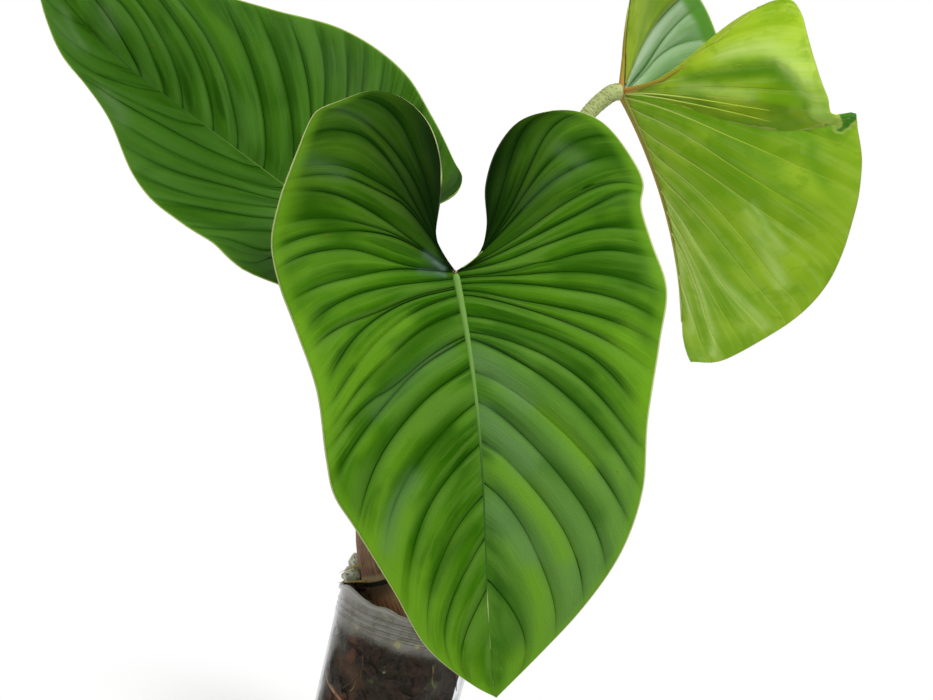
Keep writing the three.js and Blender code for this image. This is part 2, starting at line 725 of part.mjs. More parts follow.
const plant = new THREE.Group();
const grownStem = [stemSolid(GAP), ...SHEATHS.map((sheath) => toSolid(sheathSheet(sheath, GAP)))];
const grownRoots = SURFACE_ROOTS.map((points) => rootSolid(points, GAP));
plant.add(makePot());
plant.add(makeMix([...grownStem, ...grownRoots]));
plant.add(named('stem', toGeometry(stemSolid(0)), 0x7a6a3e, 0.8));
SHEATHS.forEach((sheath, index) => plant.add(makeSheath(sheath, index)));
SURFACE_ROOTS.forEach((points, index) => plant.add(makeRoot(points, index, grownStem)));
plant.add(makeStalk('front', LEAVES.front, -90));
plant.add(makeStalk('left', LEAVES.left, 150));
plant.add(makeStalk('right', LEAVES.right, 30));
plant.add(makeBlade('front', LEAVES.front, 0x3f8a1e));
plant.add(makeBlade('left', LEAVES.left, 0x2f7426));
plant.add(makeBlade('right', LEAVES.right, 0x7ba22c));

export default plant;
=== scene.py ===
"""Looks for a young warty-stalked climbing philodendron in a clear pot: fine blades, stalks, pot and mix."""

import math

import bmesh
import bpy
import numpy as np
from mathutils import Matrix, Vector


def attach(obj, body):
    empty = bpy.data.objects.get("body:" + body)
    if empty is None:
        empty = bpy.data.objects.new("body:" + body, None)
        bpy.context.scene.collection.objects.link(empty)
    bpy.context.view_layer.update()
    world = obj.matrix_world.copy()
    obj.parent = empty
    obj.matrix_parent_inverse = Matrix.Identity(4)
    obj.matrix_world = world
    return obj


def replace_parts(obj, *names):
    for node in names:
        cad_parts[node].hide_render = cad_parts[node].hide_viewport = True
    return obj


MM = 0.001

# Camera: its place in millimetres, how far it looks down, its roll and its focal length in photograph pixels
CAMERA_PLACE = (-5.70, -987.65, 321.58)
CAMERA_DOWN = 4.0
CAMERA_ROLL = 14.5
FOCAL_PIXELS = 1812
PHOTO_WIDTH = 933
SENSOR_WIDTH = 36

# Light and floor: how strongly the white world lights the plant, then metres
AMBIENT = 0.55
LAMP_SIZE = 0.8
LAMP_TARGET = (0, 0, 0.3)
FLOOR_RADIUS = 4
FLOOR_SIDES = 96

# Pot, in millimetres, as in the CAD model
POT_HEIGHT = 110
POT_LIP_RADIUS = 41.4
POT_RIM_RADIUS = 40.2
POT_BASE_RADIUS = 37.2
POT_WALL = 1.0
POT_FLOOR = 1.5
POT_SEGMENTS = 144
RING_COUNT = 3
RING_PITCH = 3
RING_DEPTH = 0.35
RING_TOP = 104
RING_FOOT = 94.3
# Where the lip rises: place in degrees, width and height
LIP_RISES = ((212, 0.36, 4.6), (253, 0.14, 2.4))

# Spots of algae on the pot's wall: place and radius
ALGAE = [
    (-24.8, -29.3, 95.8, 1.8), (-2, -38.3, 94.5, 2.6), (8.2, -37.5, 95.8, 2.0), (-5.3, -37.5, 77.7, 1.2),
    (-33, -19, 100, 2.0), (-12, -36, 97, 1.2), (20, 33, 93, 2.4), (-30, 24, 90, 2.0), (36, -12, 94, 1.6),
]

# Potting mix, which shrinks from the pot's wall on one side
SIDE_GAP = 3.2
MIX_LEVEL = 99
MIX_CLEAR = 2.4
MOUND_CENTRE = (-24, 4)
MOUND_HEIGHT = 14
MOUND_RADIUS = 24
WALL_CHIPS = 210
WALL_CHIP_SIZE = (4.6, 1.7, 2.6)
TOP_CHIPS = 120
TOP_CHIP_SIZE = (4.4, 2.7, 1.5)
BARK_FORM = (0.62, 0.16)
GRAINS = 20
FIBRES = 110
STEM_MARGIN = 11
DARK_STONES = [
    (-30, -13, 104, 4.2), (-34, -2, 107.5, 4.4), (-35, 7, 108.5, 4.4), (-31, 13, 111, 4.2),
    (-30, 14, 116, 4),
]
STONES = [
    (-37, 3, 115.5, 4.1), (-35.5, 7, 122.5, 3.8), (-22, 20, 107, 4.4), (-12, -24, 101, 4),
    (10, -20, 101, 4.4), (24, 6, 101, 4.6), (4, 25, 101, 4.4),
]

# Stem and its dry sheaths
STEM_POINTS = [(-5, 0, 72), (-9, 0, 98), (-19, 0, 116), (-27, 0, 132), (-32, 0, 148)]
STEM_RADIUS = 8
STEM_FOOT_RADIUS = 6.5
STEM_NODE_SWELL = 0.7
STEM_NODES = 4
SHEATHS = [
    {"layer": 0.3, "from": 0.30, "to": 0.585, "facing": -100, "span": 230, "point": 0.25, "spread": 6,
     "tear": 0.3},
    {"layer": 0, "from": 0.615, "to": 1.06, "facing": 215, "span": 200, "point": 0.85, "spread": 0.5,
     "tear": 1},
    {"layer": 1, "from": 0.40, "to": 0.92, "facing": 80, "span": 160, "point": 0.85, "spread": 6, "tear": 1},
]
SHEATH_THICKNESS = 0.8
GAP = 0.3

# Bare roots on the mix
SURFACE_ROOTS = [
    [(-29, -2, 125), (-33, -7, 124.4), (-37.5, -8.5, 121.5), (-42.5, -6, 117)],
    [(-26, -6, 116.5), (-30, -10.5, 116.2), (-36, -11, 114.4), (-42, -8, 111.9)],
]
ROOT_RADIUS = 0.75
ROOT_TAPER = 0.35

# Roots against the pot's wall
WALL_ROOTS = [
    [(-36.0, -9.0, 64), (-34.6, -13.4, 60.5), (-30.0, -21.6, 57.5), (-23.5, -28.4, 54.5), (-17, -32.5, 49),
     (-12, -34.2, 41), (-10, -34.4, 32)],
    [(31, 20.5, 88), (33.5, 16, 78), (34.0, 13.6, 66), (31.5, 18, 52), (30, 19.5, 38), (31.6, 15.6, 24),
     (33, 11, 12)],
    [(-6, 36.6, 90), (-10, 35.6, 78), (-17, 32.2, 68), (-19, 30.8, 54), (-13, 33.6, 42), (-5, 35.4, 34),
     (4, 35.2, 25)],
]
WALL_ROOT_RADIUS = 1.25

# Leaf stalks
STALK_BASE_RADIUS = 3.4
STALK_TOP_RADIUS = 4.0
STALK_RING = 4.6
STALK_HEEL = 12
STALK_STEP = 0.42
STALK_SIDES = 60
WART_PITCH = 1.05
WARTS_AROUND = 16
WART_HEIGHT = 0.55
STALK_TURNS = {"front": -90, "left": 150, "right": 30}

# Leaf blades. Rows follow the veins, closer together beside each, and columns run along them.
BLADE_THICKNESS = 0.8
MARGIN_THICKNESS = 0.4
START_RADIUS = 0.9
BASAL_SHARE = 0.39
HOLE_SHARE = 0.6
PLEAT_SHARE = 0.22
PLEAT_MOST = 4.0
ROW_STEPS = (0, 0.03, 0.08, 0.16, 0.28, 0.42, 0.56, 0.70, 0.83, 0.92, 0.97)
NARROW_STEPS = (0, 0.07, 0.2, 0.4, 0.6, 0.8, 0.93)
NARROW_BAND = 0.03
CURL_SHARE = 0.32
CURL_LIFT = 4.0
COLUMNS = 60
COLUMN_POWER = 1.4

# Radii of the ribs, from where each starts to its end
VEIN_RIB_RADII = (0.7, 0.08)
NOTCH_RIB_RADII = (1.7, 0.35)
MIDRIB_UNDER_RADII = (2.1, 0.25)
MIDRIB_UPPER_RADII = (2.3, 0.35)

# A vein's path: its angles in degrees at the joint and the tip, then how it meets the margin
START_ANGLES = (92, 36)
LEAVE_PLACES = (0, 0.2, 1)
LEAVE_ANGLES = (0, 70, 30)
START_PULL = 0.3
END_PULL = 0.36
NOTCH_BEND = 0.12
RIB_BOW = 0.6
MIDRIB_BLEND = 50
HOOK_START = 0.6

# Where the veins run on each half: shares t from the lobe's notch to the tip, at these shares v outwards
VEIN_STATIONS = (0.05, 0.25, 0.5, 0.75, 1.0)
VEIN_SOFTENING = (-0.1, -0.05, 0.0, 0.05, 0.1)
VEIN_CLEARANCE = 0.004
VEINS = {
    "front_left": [
        (0.02, 0.03, 0.04, 0.036, 0.04), (0.04, 0.05, 0.062, 0.077, 0.08), (0.06, 0.075, 0.09, 0.112, 0.13),
        (0.07, 0.09, 0.144, 0.161, 0.175), (0.078, 0.1, 0.156, 0.173, 0.19),
        (0.17, 0.185, 0.193, 0.196, 0.21), (0.176, 0.19, 0.228, 0.244, 0.262),
        (0.182, 0.196, 0.24, 0.285, 0.296), (0.335, 0.338, 0.305, 0.318, 0.322),
        (0.341, 0.345, 0.375, 0.376, 0.372), (0.462, 0.425, 0.41, 0.413, 0.42),
        (0.5, 0.474, 0.467, 0.447, 0.445), (0.508, 0.48, 0.471, 0.478, 0.505),
        (0.53, 0.51, 0.502, 0.51, 0.53), (0.575, 0.556, 0.546, 0.538, 0.56),
        (0.625, 0.617, 0.602, 0.567, 0.575), (0.631, 0.623, 0.612, 0.6, 0.615),
        (0.676, 0.672, 0.673, 0.675, 0.686), (0.726, 0.726, 0.727, 0.73, 0.75),
        (0.775, 0.775, 0.778, 0.789, 0.812), (0.828, 0.828, 0.836, 0.85, 0.885),
        (0.868, 0.875, 0.885, 0.9, 0.93), (0.912, 0.917, 0.925, 0.937, 0.955),
    ],
    "front_right": [
        (0.02, 0.04, 0.034, 0.02, 0.014), (0.06, 0.09, 0.078, 0.06, 0.05), (0.09, 0.108, 0.106, 0.11, 0.114),
        (0.13, 0.14, 0.14, 0.149, 0.146), (0.235, 0.235, 0.224, 0.214, 0.195),
        (0.27, 0.256, 0.246, 0.234, 0.21), (0.38, 0.312, 0.28, 0.262, 0.27),
        (0.452, 0.43, 0.325, 0.301, 0.315), (0.462, 0.442, 0.401, 0.377, 0.37),
        (0.492, 0.468, 0.44, 0.42, 0.411), (0.515, 0.518, 0.487, 0.457, 0.444),
        (0.53, 0.53, 0.512, 0.493, 0.487), (0.585, 0.573, 0.547, 0.531, 0.556),
        (0.618, 0.606, 0.582, 0.575, 0.6), (0.63, 0.636, 0.628, 0.627, 0.657),
        (0.683, 0.69, 0.697, 0.698, 0.707), (0.723, 0.738, 0.757, 0.767, 0.78),
        (0.77, 0.785, 0.802, 0.82, 0.833), (0.815, 0.828, 0.86, 0.879, 0.89),
        (0.904, 0.912, 0.925, 0.94, 0.96),
    ],
    "left_left": [
        (0.03, 0.04, 0.05, 0.05, 0.05), (0.09, 0.1, 0.11, 0.115, 0.12), (0.16, 0.17, 0.18, 0.185, 0.19),
        (0.24, 0.245, 0.25, 0.25, 0.25), (0.3, 0.31, 0.31, 0.31, 0.31), (0.38, 0.375, 0.37, 0.36, 0.36),
        (0.44, 0.43, 0.42, 0.403, 0.4), (0.5, 0.51, 0.495, 0.466, 0.46), (0.54, 0.545, 0.525, 0.515, 0.51),
        (0.583, 0.588, 0.582, 0.574, 0.572), (0.653, 0.655, 0.648, 0.641, 0.638),
        (0.708, 0.716, 0.714, 0.722, 0.75), (0.752, 0.757, 0.762, 0.775, 0.795),
        (0.8, 0.804, 0.815, 0.84, 0.87), (0.825, 0.837, 0.852, 0.885, 0.91), (0.856, 0.876, 0.9, 0.92, 0.94),
    ],
    "left_right": [
        (0.05, 0.055, 0.06, 0.06, 0.06), (0.12, 0.13, 0.14, 0.15, 0.15), (0.2, 0.21, 0.22, 0.23, 0.24),
        (0.25, 0.27, 0.295, 0.33, 0.395), (0.33, 0.355, 0.385, 0.408, 0.45), (0.38, 0.405, 0.43, 0.45, 0.48),
        (0.44, 0.465, 0.497, 0.53, 0.555), (0.49, 0.52, 0.545, 0.567, 0.61), (0.52, 0.56, 0.612, 0.63, 0.65),
        (0.588, 0.612, 0.65, 0.677, 0.69), (0.658, 0.68, 0.71, 0.735, 0.765),
        (0.766, 0.756, 0.752, 0.756, 0.78), (0.832, 0.825, 0.82, 0.815, 0.83),
        (0.869, 0.866, 0.866, 0.87, 0.88), (0.93, 0.925, 0.925, 0.925, 0.93),
    ],
    "right_left": [
        (0.05, 0.05, 0.055, 0.06, 0.06), (0.11, 0.115, 0.118, 0.12, 0.12), (0.18, 0.182, 0.184, 0.185, 0.19),
        (0.255, 0.258, 0.26, 0.26, 0.25), (0.3, 0.3, 0.298, 0.29, 0.285), (0.35, 0.352, 0.355, 0.35, 0.345),
        (0.405, 0.4, 0.392, 0.39, 0.395), (0.455, 0.467, 0.485, 0.49, 0.49), (0.52, 0.535, 0.6, 0.62, 0.61),
        (0.59, 0.62, 0.66, 0.67, 0.665), (0.647, 0.675, 0.73, 0.76, 0.75), (0.7, 0.73, 0.775, 0.79, 0.78),
        (0.742, 0.79, 0.825, 0.826, 0.812), (0.78, 0.83, 0.86, 0.868, 0.86),
        (0.815, 0.86, 0.905, 0.912, 0.9), (0.88, 0.915, 0.94, 0.945, 0.94),
    ],
    "right_right": [
        (0.05, 0.06, 0.07, 0.07, 0.06), (0.13, 0.135, 0.14, 0.13, 0.12), (0.21, 0.21, 0.2, 0.19, 0.18),
        (0.28, 0.275, 0.265, 0.25, 0.24), (0.345, 0.352, 0.333, 0.33, 0.32),
        (0.455, 0.475, 0.425, 0.37, 0.36), (0.462, 0.483, 0.444, 0.433, 0.44), (0.53, 0.53, 0.51, 0.5, 0.5),
        (0.58, 0.58, 0.57, 0.56, 0.56), (0.64, 0.645, 0.64, 0.63, 0.63), (0.7, 0.71, 0.705, 0.7, 0.7),
        (0.76, 0.77, 0.77, 0.77, 0.77), (0.82, 0.83, 0.84, 0.84, 0.84), (0.89, 0.9, 0.905, 0.905, 0.905),
    ],
}

TOUCH_KINDS = ("dark", "sun", "pale", "silver_sheen")

# Painted touches of light and shade on each half blade: kind (dark mostly painted shade, sun a painted glow,
# pale and silver a painted sheen), width in millimetres, strength, and a path of shares t and v
TOUCHES = {
    "front_left": [
        ("dark", 9, 0.8, [(0.225, 0.87), (0.238, 0.77), (0.27, 0.62)]),
        ("dark", 5, 0.7, [(0.578, 0.095), (0.571, 0.345), (0.567, 0.6)]),
        ("dark", 5, 0.6, [(0.607, 0.365), (0.594, 0.595), (0.582, 0.78)]),
        ("dark", 5, 0.6, [(0.733, 0.22), (0.725, 0.415), (0.722, 0.59)]),
        ("dark", 4, 0.6, [(0.849, 0.135), (0.843, 0.425), (0.85, 0.645)]),
        ("sun", 7, 0.8, [(0.402, 0.98), (0.448, 0.97), (0.496, 0.96), (0.546, 0.965)]),
        ("sun", 4, 0.7, [(0.513, 0.37), (0.503, 0.525), (0.512, 0.705)]),
        ("sun", 4, 0.6, [(0.532, 0.535), (0.523, 0.76), (0.547, 0.905)]),
        ("sun", 8, 0.7, [(0.712, 0.905), (0.791, 0.89), (0.855, 0.885), (0.926, 0.93)]),
        ("sun", 5, 0.5, [(0.209, 0.93), (0.26, 0.935)]),
        ("silver_sheen", 1.4, 0.65, [(0.276, 0.06), (0.232, 0.1), (0.222, 0.12)]),
        ("silver_sheen", 2.2, 0.35, [(0.232, 0.1), (0.208, 0.14), (0.204, 0.175)]),
        ("silver_sheen", 1.0, 0.6, [(0.418, 0.07), (0.376, 0.095), (0.37, 0.11)]),
        ("silver_sheen", 1.8, 0.3, [(0.376, 0.095), (0.358, 0.135), (0.356, 0.2)]),
        ("pale", 5, 0.5, [(0.162, 0.945), (0.171, 0.74)]),
        ("pale", 4, 0.35, [(0.079, 0.895), (0.071, 0.77)]),
        ("pale", 5, 0.4, [(0.632, 0.12), (0.622, 0.365), (0.602, 0.64)]),
        ("pale", 5, 0.5, [(0.735, 0.53), (0.732, 0.725), (0.746, 0.865)]),
    ],
    "front_right": [
        ("dark", 7, 0.9, [(0.391, 0.52), (0.345, 0.685), (0.348, 0.855)]),
        ("dark", 5, 0.8, [(0.113, 0.755), (0.133, 0.83), (0.156, 0.935)]),
        ("dark", 4, 0.5, [(0.585, 0.185), (0.558, 0.465), (0.562, 0.675)]),
        ("dark", 5, 0.6, [(0.622, 0.425), (0.614, 0.605), (0.638, 0.785)]),
        ("dark", 5, 0.5, [(0.754, 0.4), (0.753, 0.56), (0.755, 0.76)]),
        ("dark", 6, 0.5, [(0.906, 0.245), (0.928, 0.445), (0.961, 0.365)]),
        ("pale", 5, 0.5, [(0.102, 0.685), (0.141, 0.745)]), ("pale", 4, 0.35, [(0.13, 0.42), (0.148, 0.66)]),
        ("pale", 6, 0.8, [(0.659, 0.02), (0.677, 0.145), (0.694, 0.28)]),
        ("pale", 6, 0.8, [(0.737, 0.025), (0.755, 0.125), (0.77, 0.28)]),
        ("pale", 6, 0.7, [(0.833, 0.065), (0.847, 0.21), (0.86, 0.37)]),
        ("sun", 8, 0.9, [(0.473, 0.84), (0.492, 0.96), (0.54, 0.975)]),
        ("sun", 4, 0.7, [(0.688, 0.145), (0.689, 0.395), (0.704, 0.66)]),
        ("sun", 5, 0.7, [(0.787, 0.12), (0.81, 0.385), (0.83, 0.63)]),
        ("sun", 6, 0.8, [(0.86, 0.24), (0.886, 0.54), (0.909, 0.835)]),
        ("sun", 7, 0.7, [(0.961, 0.71), (0.915, 0.945)]),
    ],
    "left_left": [
        ("dark", 20, 0.4, [(0.8, 0.35), (0.88, 0.2)]), ("pale", 9, 0.5, [(0.03, 0.7), (0.06, 0.9)]),
        ("dark", 7, 0.8, [(0.918, 0.085), (0.906, 0.295)]),
        ("pale", 18, 0.25, [(0.35, 0.7), (0.42, 0.8)]),
        ("dark", 6, 0.7, [(0.914, 0.375), (0.925, 0.115), (0.916, 0.015)]),
        ("dark", 6, 0.6, [(0.561, 0.83), (0.566, 0.68), (0.587, 0.495)]),
        ("dark", 1.5, 1.0, [(0.391, 0.995), (0.393, 0.98)]),
        ("pale", 6, 0.5, [(0.893, 0.475), (0.889, 0.355)]),
    ],
    "left_right": [
        ("dark", 40, 0.45, [(0.35, 0.9), (0.4, 0.7), (0.55, 0.6), (0.75, 0.5), (0.9, 0.4)]),
        ("dark", 2.5, 0.9, [(0.837, 0.055), (0.831, 0.405), (0.819, 0.655)]),
        ("dark", 2.5, 0.9, [(0.764, 0.065), (0.749, 0.39), (0.751, 0.565)]),
        ("dark", 5, 0.6, [(0.443, 0.605), (0.472, 0.825), (0.507, 0.89)]),
        ("dark", 5, 0.5, [(0.638, 0.55), (0.642, 0.695), (0.612, 0.915)]),
        ("dark", 6, 0.6, [(0.352, 0.895), (0.375, 0.945)]),
        ("pale", 5, 0.5, [(0.934, 0.375), (0.909, 0.525), (0.877, 0.55)]),
        ("pale", 6, 0.4, [(0.869, 0.675), (0.884, 0.765)]), ("pale", 6, 0.6, [(0.743, 0.875), (0.7, 0.895)]),
    ],
    "right_left": [
        ("dark", 5, 0.9, [(0.2, 0.4), (0.2, 0.55), (0.2, 0.7), (0.2, 0.82), (0.235, 0.88), (0.3, 0.895),
          (0.37, 0.9)]),
        ("dark", 5, 0.8, [(0.272, 0.335), (0.29, 0.44), (0.301, 0.545), (0.298, 0.675), (0.352, 0.71),
          (0.387, 0.8)]),
        ("dark", 4, 0.7, [(0.389, 0.68), (0.4, 0.8), (0.455, 0.79), (0.502, 0.845)]),
        ("dark", 5, 0.6, [(0.557, 0.37), (0.596, 0.475), (0.65, 0.55), (0.691, 0.595)]),
        ("dark", 9, 0.5, [(0.45, 0.35), (0.52, 0.6), (0.6, 0.62)]),
        ("pale", 6, 0.5, [(0.16, 0.6), (0.16, 0.8), (0.2, 0.93), (0.3, 0.95)]),
        ("pale", 4, 0.7, [(0.192, 0.85), (0.227, 0.885), (0.265, 0.9)]),
        ("pale", 4, 0.5, [(0.262, 0.335), (0.278, 0.5), (0.28, 0.65)]),
        ("pale", 2.5, 0.9, [(0.75, 0.02), (0.803, 0.04), (0.85, 0.22), (0.893, 0.44), (0.932, 0.81)]),
        ("pale", 3, 0.9, [(0.75, 0.02), (0.8, 0.22), (0.823, 0.465), (0.824, 0.68), (0.815, 0.905)]),
        ("pale", 3, 0.9, [(0.837, 0.015), (0.888, 0.07), (0.94, 0.31)]),
        ("pale", 3, 0.6, [(0.686, 0.49), (0.714, 0.57), (0.727, 0.63), (0.756, 0.775)]),
        ("pale", 2.5, 0.6, [(0.66, 0.53), (0.7, 0.6), (0.72, 0.7)]),
        ("sun", 14, 0.6, [(0.45, 0.93), (0.55, 0.93), (0.65, 0.93)]),
        ("sun", 10, 0.5, [(0.12, 0.6), (0.14, 0.9)]),
    ],
}

# The flap on the right leaf: its crease and the corner turned beside it, as v and t, and how it stands out
FLAP_CREASE = [
    (0.3, 0.19), (0.82, 0.186), (0.87, 0.205), (0.905, 0.264), (0.915, 0.37), (0.99, 0.3), (1, 0.3),
]
FLAP_CORNER = [(0.915, 0.37), (0.95, 0.354), (1, 0.326)]
FLAP_LIFT = -6.5
FLAP_REACH = (16, 9)
FOLD_VEINS = (0.15, 0.32)

# Leaves: where each stalk joins, how the blade lies, droops, bows and hooks, and the outline of its halves,
# whose points run from the notch by the joint to the tip. Angles are in degrees and lengths in millimetres.
LEAVES = {
    "front": {
        "joint": (-21, -82, 295), "seat": (0, 3, -2),
        "azimuth": 57.7, "elevation": -62.9, "roll": 44.3, "size": 1, "droop": 0.002, "bow": -4, "hook": 0,
        "sway": 4.5, "pleat": 0.85, "midrib_width": 1.0, "notch": (0.02, 2.0, 0.45),
        "left": {
            "gloom": (0.98, 0.62), "rise": -10, "rolls": [(220, -0.12)], "curl": -0.0005,
            "wave": (1.5, 2.5, 0.2), "lobe_top": 6,
            "outline": [
                (7.5, -19.5), (6.3, -25.5), (1, -46), (-1, -66), (3, -87), (14, -102), (29.5, -108.3),
                (46.3, -104.4), (59.6, -99.5), (66, -90), (70, -82), (76, -70), (83, -55), (90, -33),
                (90, -17), (84, 17), (79, 50), (80, 85), (79, 102), (71, 119), (54, 153), (38, 184),
                (13, 208), (0, 217),
            ],
        },
        "right": {
            "rib_bow": 2.2, "rise": 22, "rolls": [(100, -0.05), (220, -0.12)], "curl": 0.0007,
            "wave": (1.5, 2.5, 2.0),
            "lobe_top": 5,
            "outline": [
                (16, -11), (19, -22), (21, -43), (30, -63), (43, -75), (60, -77.4), (73.8, -74.5),
                (85.5, -66), (96.5, -45), (100, -31), (97, -19), (99, 2), (101, 26), (92, 52), (79, 89),
                (72, 123), (60, 151), (42, 176), (21, 198), (0, 217),
            ],
        },
        "stalk": [(-35, -8, 185), (-34, -17, 225), (-28, -38, 262), (-22, -66, 286)],
    },
    "left": {
        "joint": (-109, 74, 304),
        "azimuth": -80.7, "elevation": 22.4, "roll": -81.3, "size": 1.05, "droop": -0.0006, "bow": 0,
        "hook": 18,
        "pleat": 0.9, "midrib_width": 0.35, "notch": (0.1, 1.6, 0.6),
        "left": {
            "rise": 3, "rolls": [(100, -0.23), (220, -0.59)], "curl": 0.0002, "wave": (1.2, 3, 1.0),
            "lobe_top": 5,
            "outline": [
                (9, -16), (19, -28), (36, -43), (50, -56), (61, -64), (71, -67), (78, -64), (81, -52),
                (91, -24), (99, 4), (94, 48), (77, 87), (59, 125), (49, 146), (36, 166), (18, 182), (6, 195),
                (0, 206),
            ],
        },
        "right": {
            "rise": 62, "rolls": [(220, 0)], "curl": 0.0034, "wave": (1.5, 3, 0.5), "lobe_top": 4,
            "outline": [
                (13, -12), (17, -28), (20, -44), (28, -60), (42, -72), (63, -71), (81, -53), (87, -22),
                (90.5, 0), (95, 9), (98.5, 20), (97, 30), (92.8, 40), (89.8, 54), (83, 71), (72, 96),
                (57, 122), (51, 140), (47, 160), (36, 176), (22, 189), (9, 198), (0, 206),
            ],
        },
        "stalk": [(-50, 22, 185), (-72, 56, 212), (-96, 84, 248), (-108, 86, 280)],
    },
    "right": {
        "joint": (43, 41, 413),
        "azimuth": 134.8, "elevation": -35.3, "roll": 54.3, "size": 1.05, "droop": 0.0019, "bow": 0,
        "hook": 4, "hook_start": 0.84, "tip_lift": 10,
        "pleat": 0.9, "midrib_width": 0.8, "notch": (0.42, 1.0, 1.0), "curled": True,
        "left": {
            "rise": 42.5, "rolls": [(80, 0.32), (220, 1.19)], "curl": -0.0034, "wave": (1.5, 3, 0),
            "lobe_top": 3, "flap": True,
            "folds": [(0.3, 0.06, 1.0, 0.25), (0.42, 0.04, 2, 0.4), (0.62, 0.04, 2, 0.2)],
            "outline": [
                (26, -8), (46, -23), (58, -43), (68, -61), (79, -64), (90, -55), (99.7, -40), (110.5, -18),
                (116, 0.6), (117.2, 13.5), (121, 16.5), (126, 20), (125.5, 29), (122, 52), (107, 92),
                (81, 127), (50, 165), (25, 196), (0, 210),
            ],
        },
        "right": {
            "rise": 1, "rolls": [(150, 0.15), (260, 0.3)], "curl": -0.0045, "wave": (1.5, 3, 1.5),
            "lobe_top": 4,
            "outline": [
                (13, -13), (18, -27), (22, -42), (29, -60), (41, -73), (56, -77), (82, -66), (95, -35),
                (94, -3), (99, 28), (95, 67), (87, 98), (74, 138), (50, 176), (24, 202), (0, 210),
            ],
        },
        "stalk": [
            (-21, 12, 190), (-6, 25, 240), (8, 32, 290), (18, 36, 335), (21.5, 37.3, 380),
            (27.2, 37.8, 395.7), (33.3, 38.5, 405.7), (38, 38.9, 410.8),
        ],
    },
}


# Helpers


def mix(a, b, share):
    return a + (b - a) * share


def smooth(x):
    x = np.clip(x, 0, 1)
    return x * x * (3 - 2 * x)


def unit(vectors):
    lengths = np.linalg.norm(vectors, axis=-1, keepdims=True)
    return vectors / np.maximum(lengths, 1e-9)


def evenly(points, count):
    """The coordinates of a count of points, evenly from the first of a list to its last."""
    places = np.linspace(0, len(points) - 1, count)
    return np.array([np.interp(places, np.arange(len(points)), axis) for axis in np.array(points).T])


class Curve:
    """A centripetal Catmull-Rom curve through points, read by share of its length."""

    STEPS = 160

    def __init__(self, points):
        points = np.array(points, float)
        padded = np.vstack([2 * points[0] - points[1], points, 2 * points[-1] - points[-2]])
        share = np.linspace(0, 1, self.STEPS, endpoint=False)[:, None]
        pieces = []
        for i in range(len(points) - 1):
            p0, p1, p2, p3 = padded[i:i + 4]
            d0, d1, d2 = (max(np.linalg.norm(b - a), 1e-6) ** 0.5 for a, b in ((p0, p1), (p1, p2), (p2, p3)))
            leave = ((p1 - p0) / d0 - (p2 - p0) / (d0 + d1) + (p2 - p1) / d1) * d1
            reach = ((p2 - p1) / d1 - (p3 - p1) / (d1 + d2) + (p3 - p2) / d2) * d1
            square = -3 * p1 + 3 * p2 - 2 * leave - reach
            cube = 2 * p1 - 2 * p2 + leave + reach
            pieces.append(p1 + leave * share + square * share**2 + cube * share**3)
        self.dense = np.vstack([*pieces, points[-1:]])
        lengths = np.concatenate([[0], np.cumsum(np.linalg.norm(np.diff(self.dense, axis=0), axis=1))])
        self.length = lengths[-1]
        self.shares = lengths / self.length
        self.slopes = unit(np.gradient(self.dense, axis=0))

    def share_of(self, index):
        """The share of the curve's length at one of its points."""
        return self.shares[index * self.STEPS]

    def at(self, share):
        return np.stack([np.interp(share, self.shares, axis) for axis in self.dense.T], -1)

    def direction(self, share):
        return unit(np.stack([np.interp(share, self.shares, axis) for axis in self.slopes.T], -1))


def mesh_object(name, points, faces, materials, face_materials=None, attributes=None):
    """A piece from points in millimetres that rides on the body."""
    mesh = bpy.data.meshes.new(name)
    mesh.from_pydata((np.asarray(points) * MM).tolist(), [], [list(map(int, face)) for face in faces])
    for material in materials:
        mesh.materials.append(material)
    if face_materials is not None:
        mesh.polygons.foreach_set("material_index", np.asarray(face_materials, np.int32))
    for key, values in (attributes or {}).items():
        attribute = mesh.attributes.new(key, "FLOAT", "POINT")
        attribute.data.foreach_set("value", np.asarray(values, np.float32).ravel())
    mesh.polygons.foreach_set("use_smooth", np.full(len(mesh.polygons), True))
    mesh.update()
    piece = bpy.data.objects.new(name, mesh)
    bpy.context.scene.collection.objects.link(piece)
    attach(piece, "root")
    return piece


def grid_faces(rows, columns, around=False):
    """Quads between neighbouring rows and columns of a grid of vertices; around closes each row on itself."""
    count = columns if around else columns - 1
    row, column = np.meshgrid(np.arange(rows - 1), np.arange(count), indexing="ij")
    right = (column + 1) % columns
    corners = [row * columns + column, row * columns + right]
    corners += [corner + columns for corner in corners[::-1]]
    return np.stack(corners, -1).reshape(-1, 4)


def closed_grid(rows, columns):
    """Faces of two layers of a grid of vertices, and of the walls that join their edges."""
    faces = grid_faces(rows, columns)
    block = rows * columns
    last = block - columns
    edge = [*range(columns), *range(2 * columns - 1, block, columns)]
    edge += [*range(block - 2, last - 1, -1), *range(last - columns, 0, -columns)]
    walls = [[b, b + block, a + block, a] for a, b in zip(edge, edge[1:] + edge[:1])]
    return [*faces[:, ::-1].tolist(), *(faces + block).tolist(), *walls]


def closed_rings(count, sides):
    """Faces of a row of rings of vertices, closed at both ends by a fan round one more vertex each."""
    faces = grid_faces(count, sides, around=True).tolist()
    first_end = count * sides
    last = first_end - sides
    for side in range(sides):
        following = (side + 1) % sides
        faces.append([first_end, following, side])
        faces.append([first_end + 1, last + side, last + following])
    return faces


def frames_along(points):
    """Two arms square to a path at each of its points, carried along without twist."""
    directions = unit(np.gradient(points, axis=0))
    first = np.cross(directions[0], (0, 0, 1) if abs(directions[0][2]) < 0.9 else (1, 0, 0))
    arms = [unit(first)]
    for direction in directions[1:]:
        arms.append(unit(arms[-1] - direction * np.dot(arms[-1], direction)))
    arms = np.array(arms)
    return arms, np.cross(directions, arms)


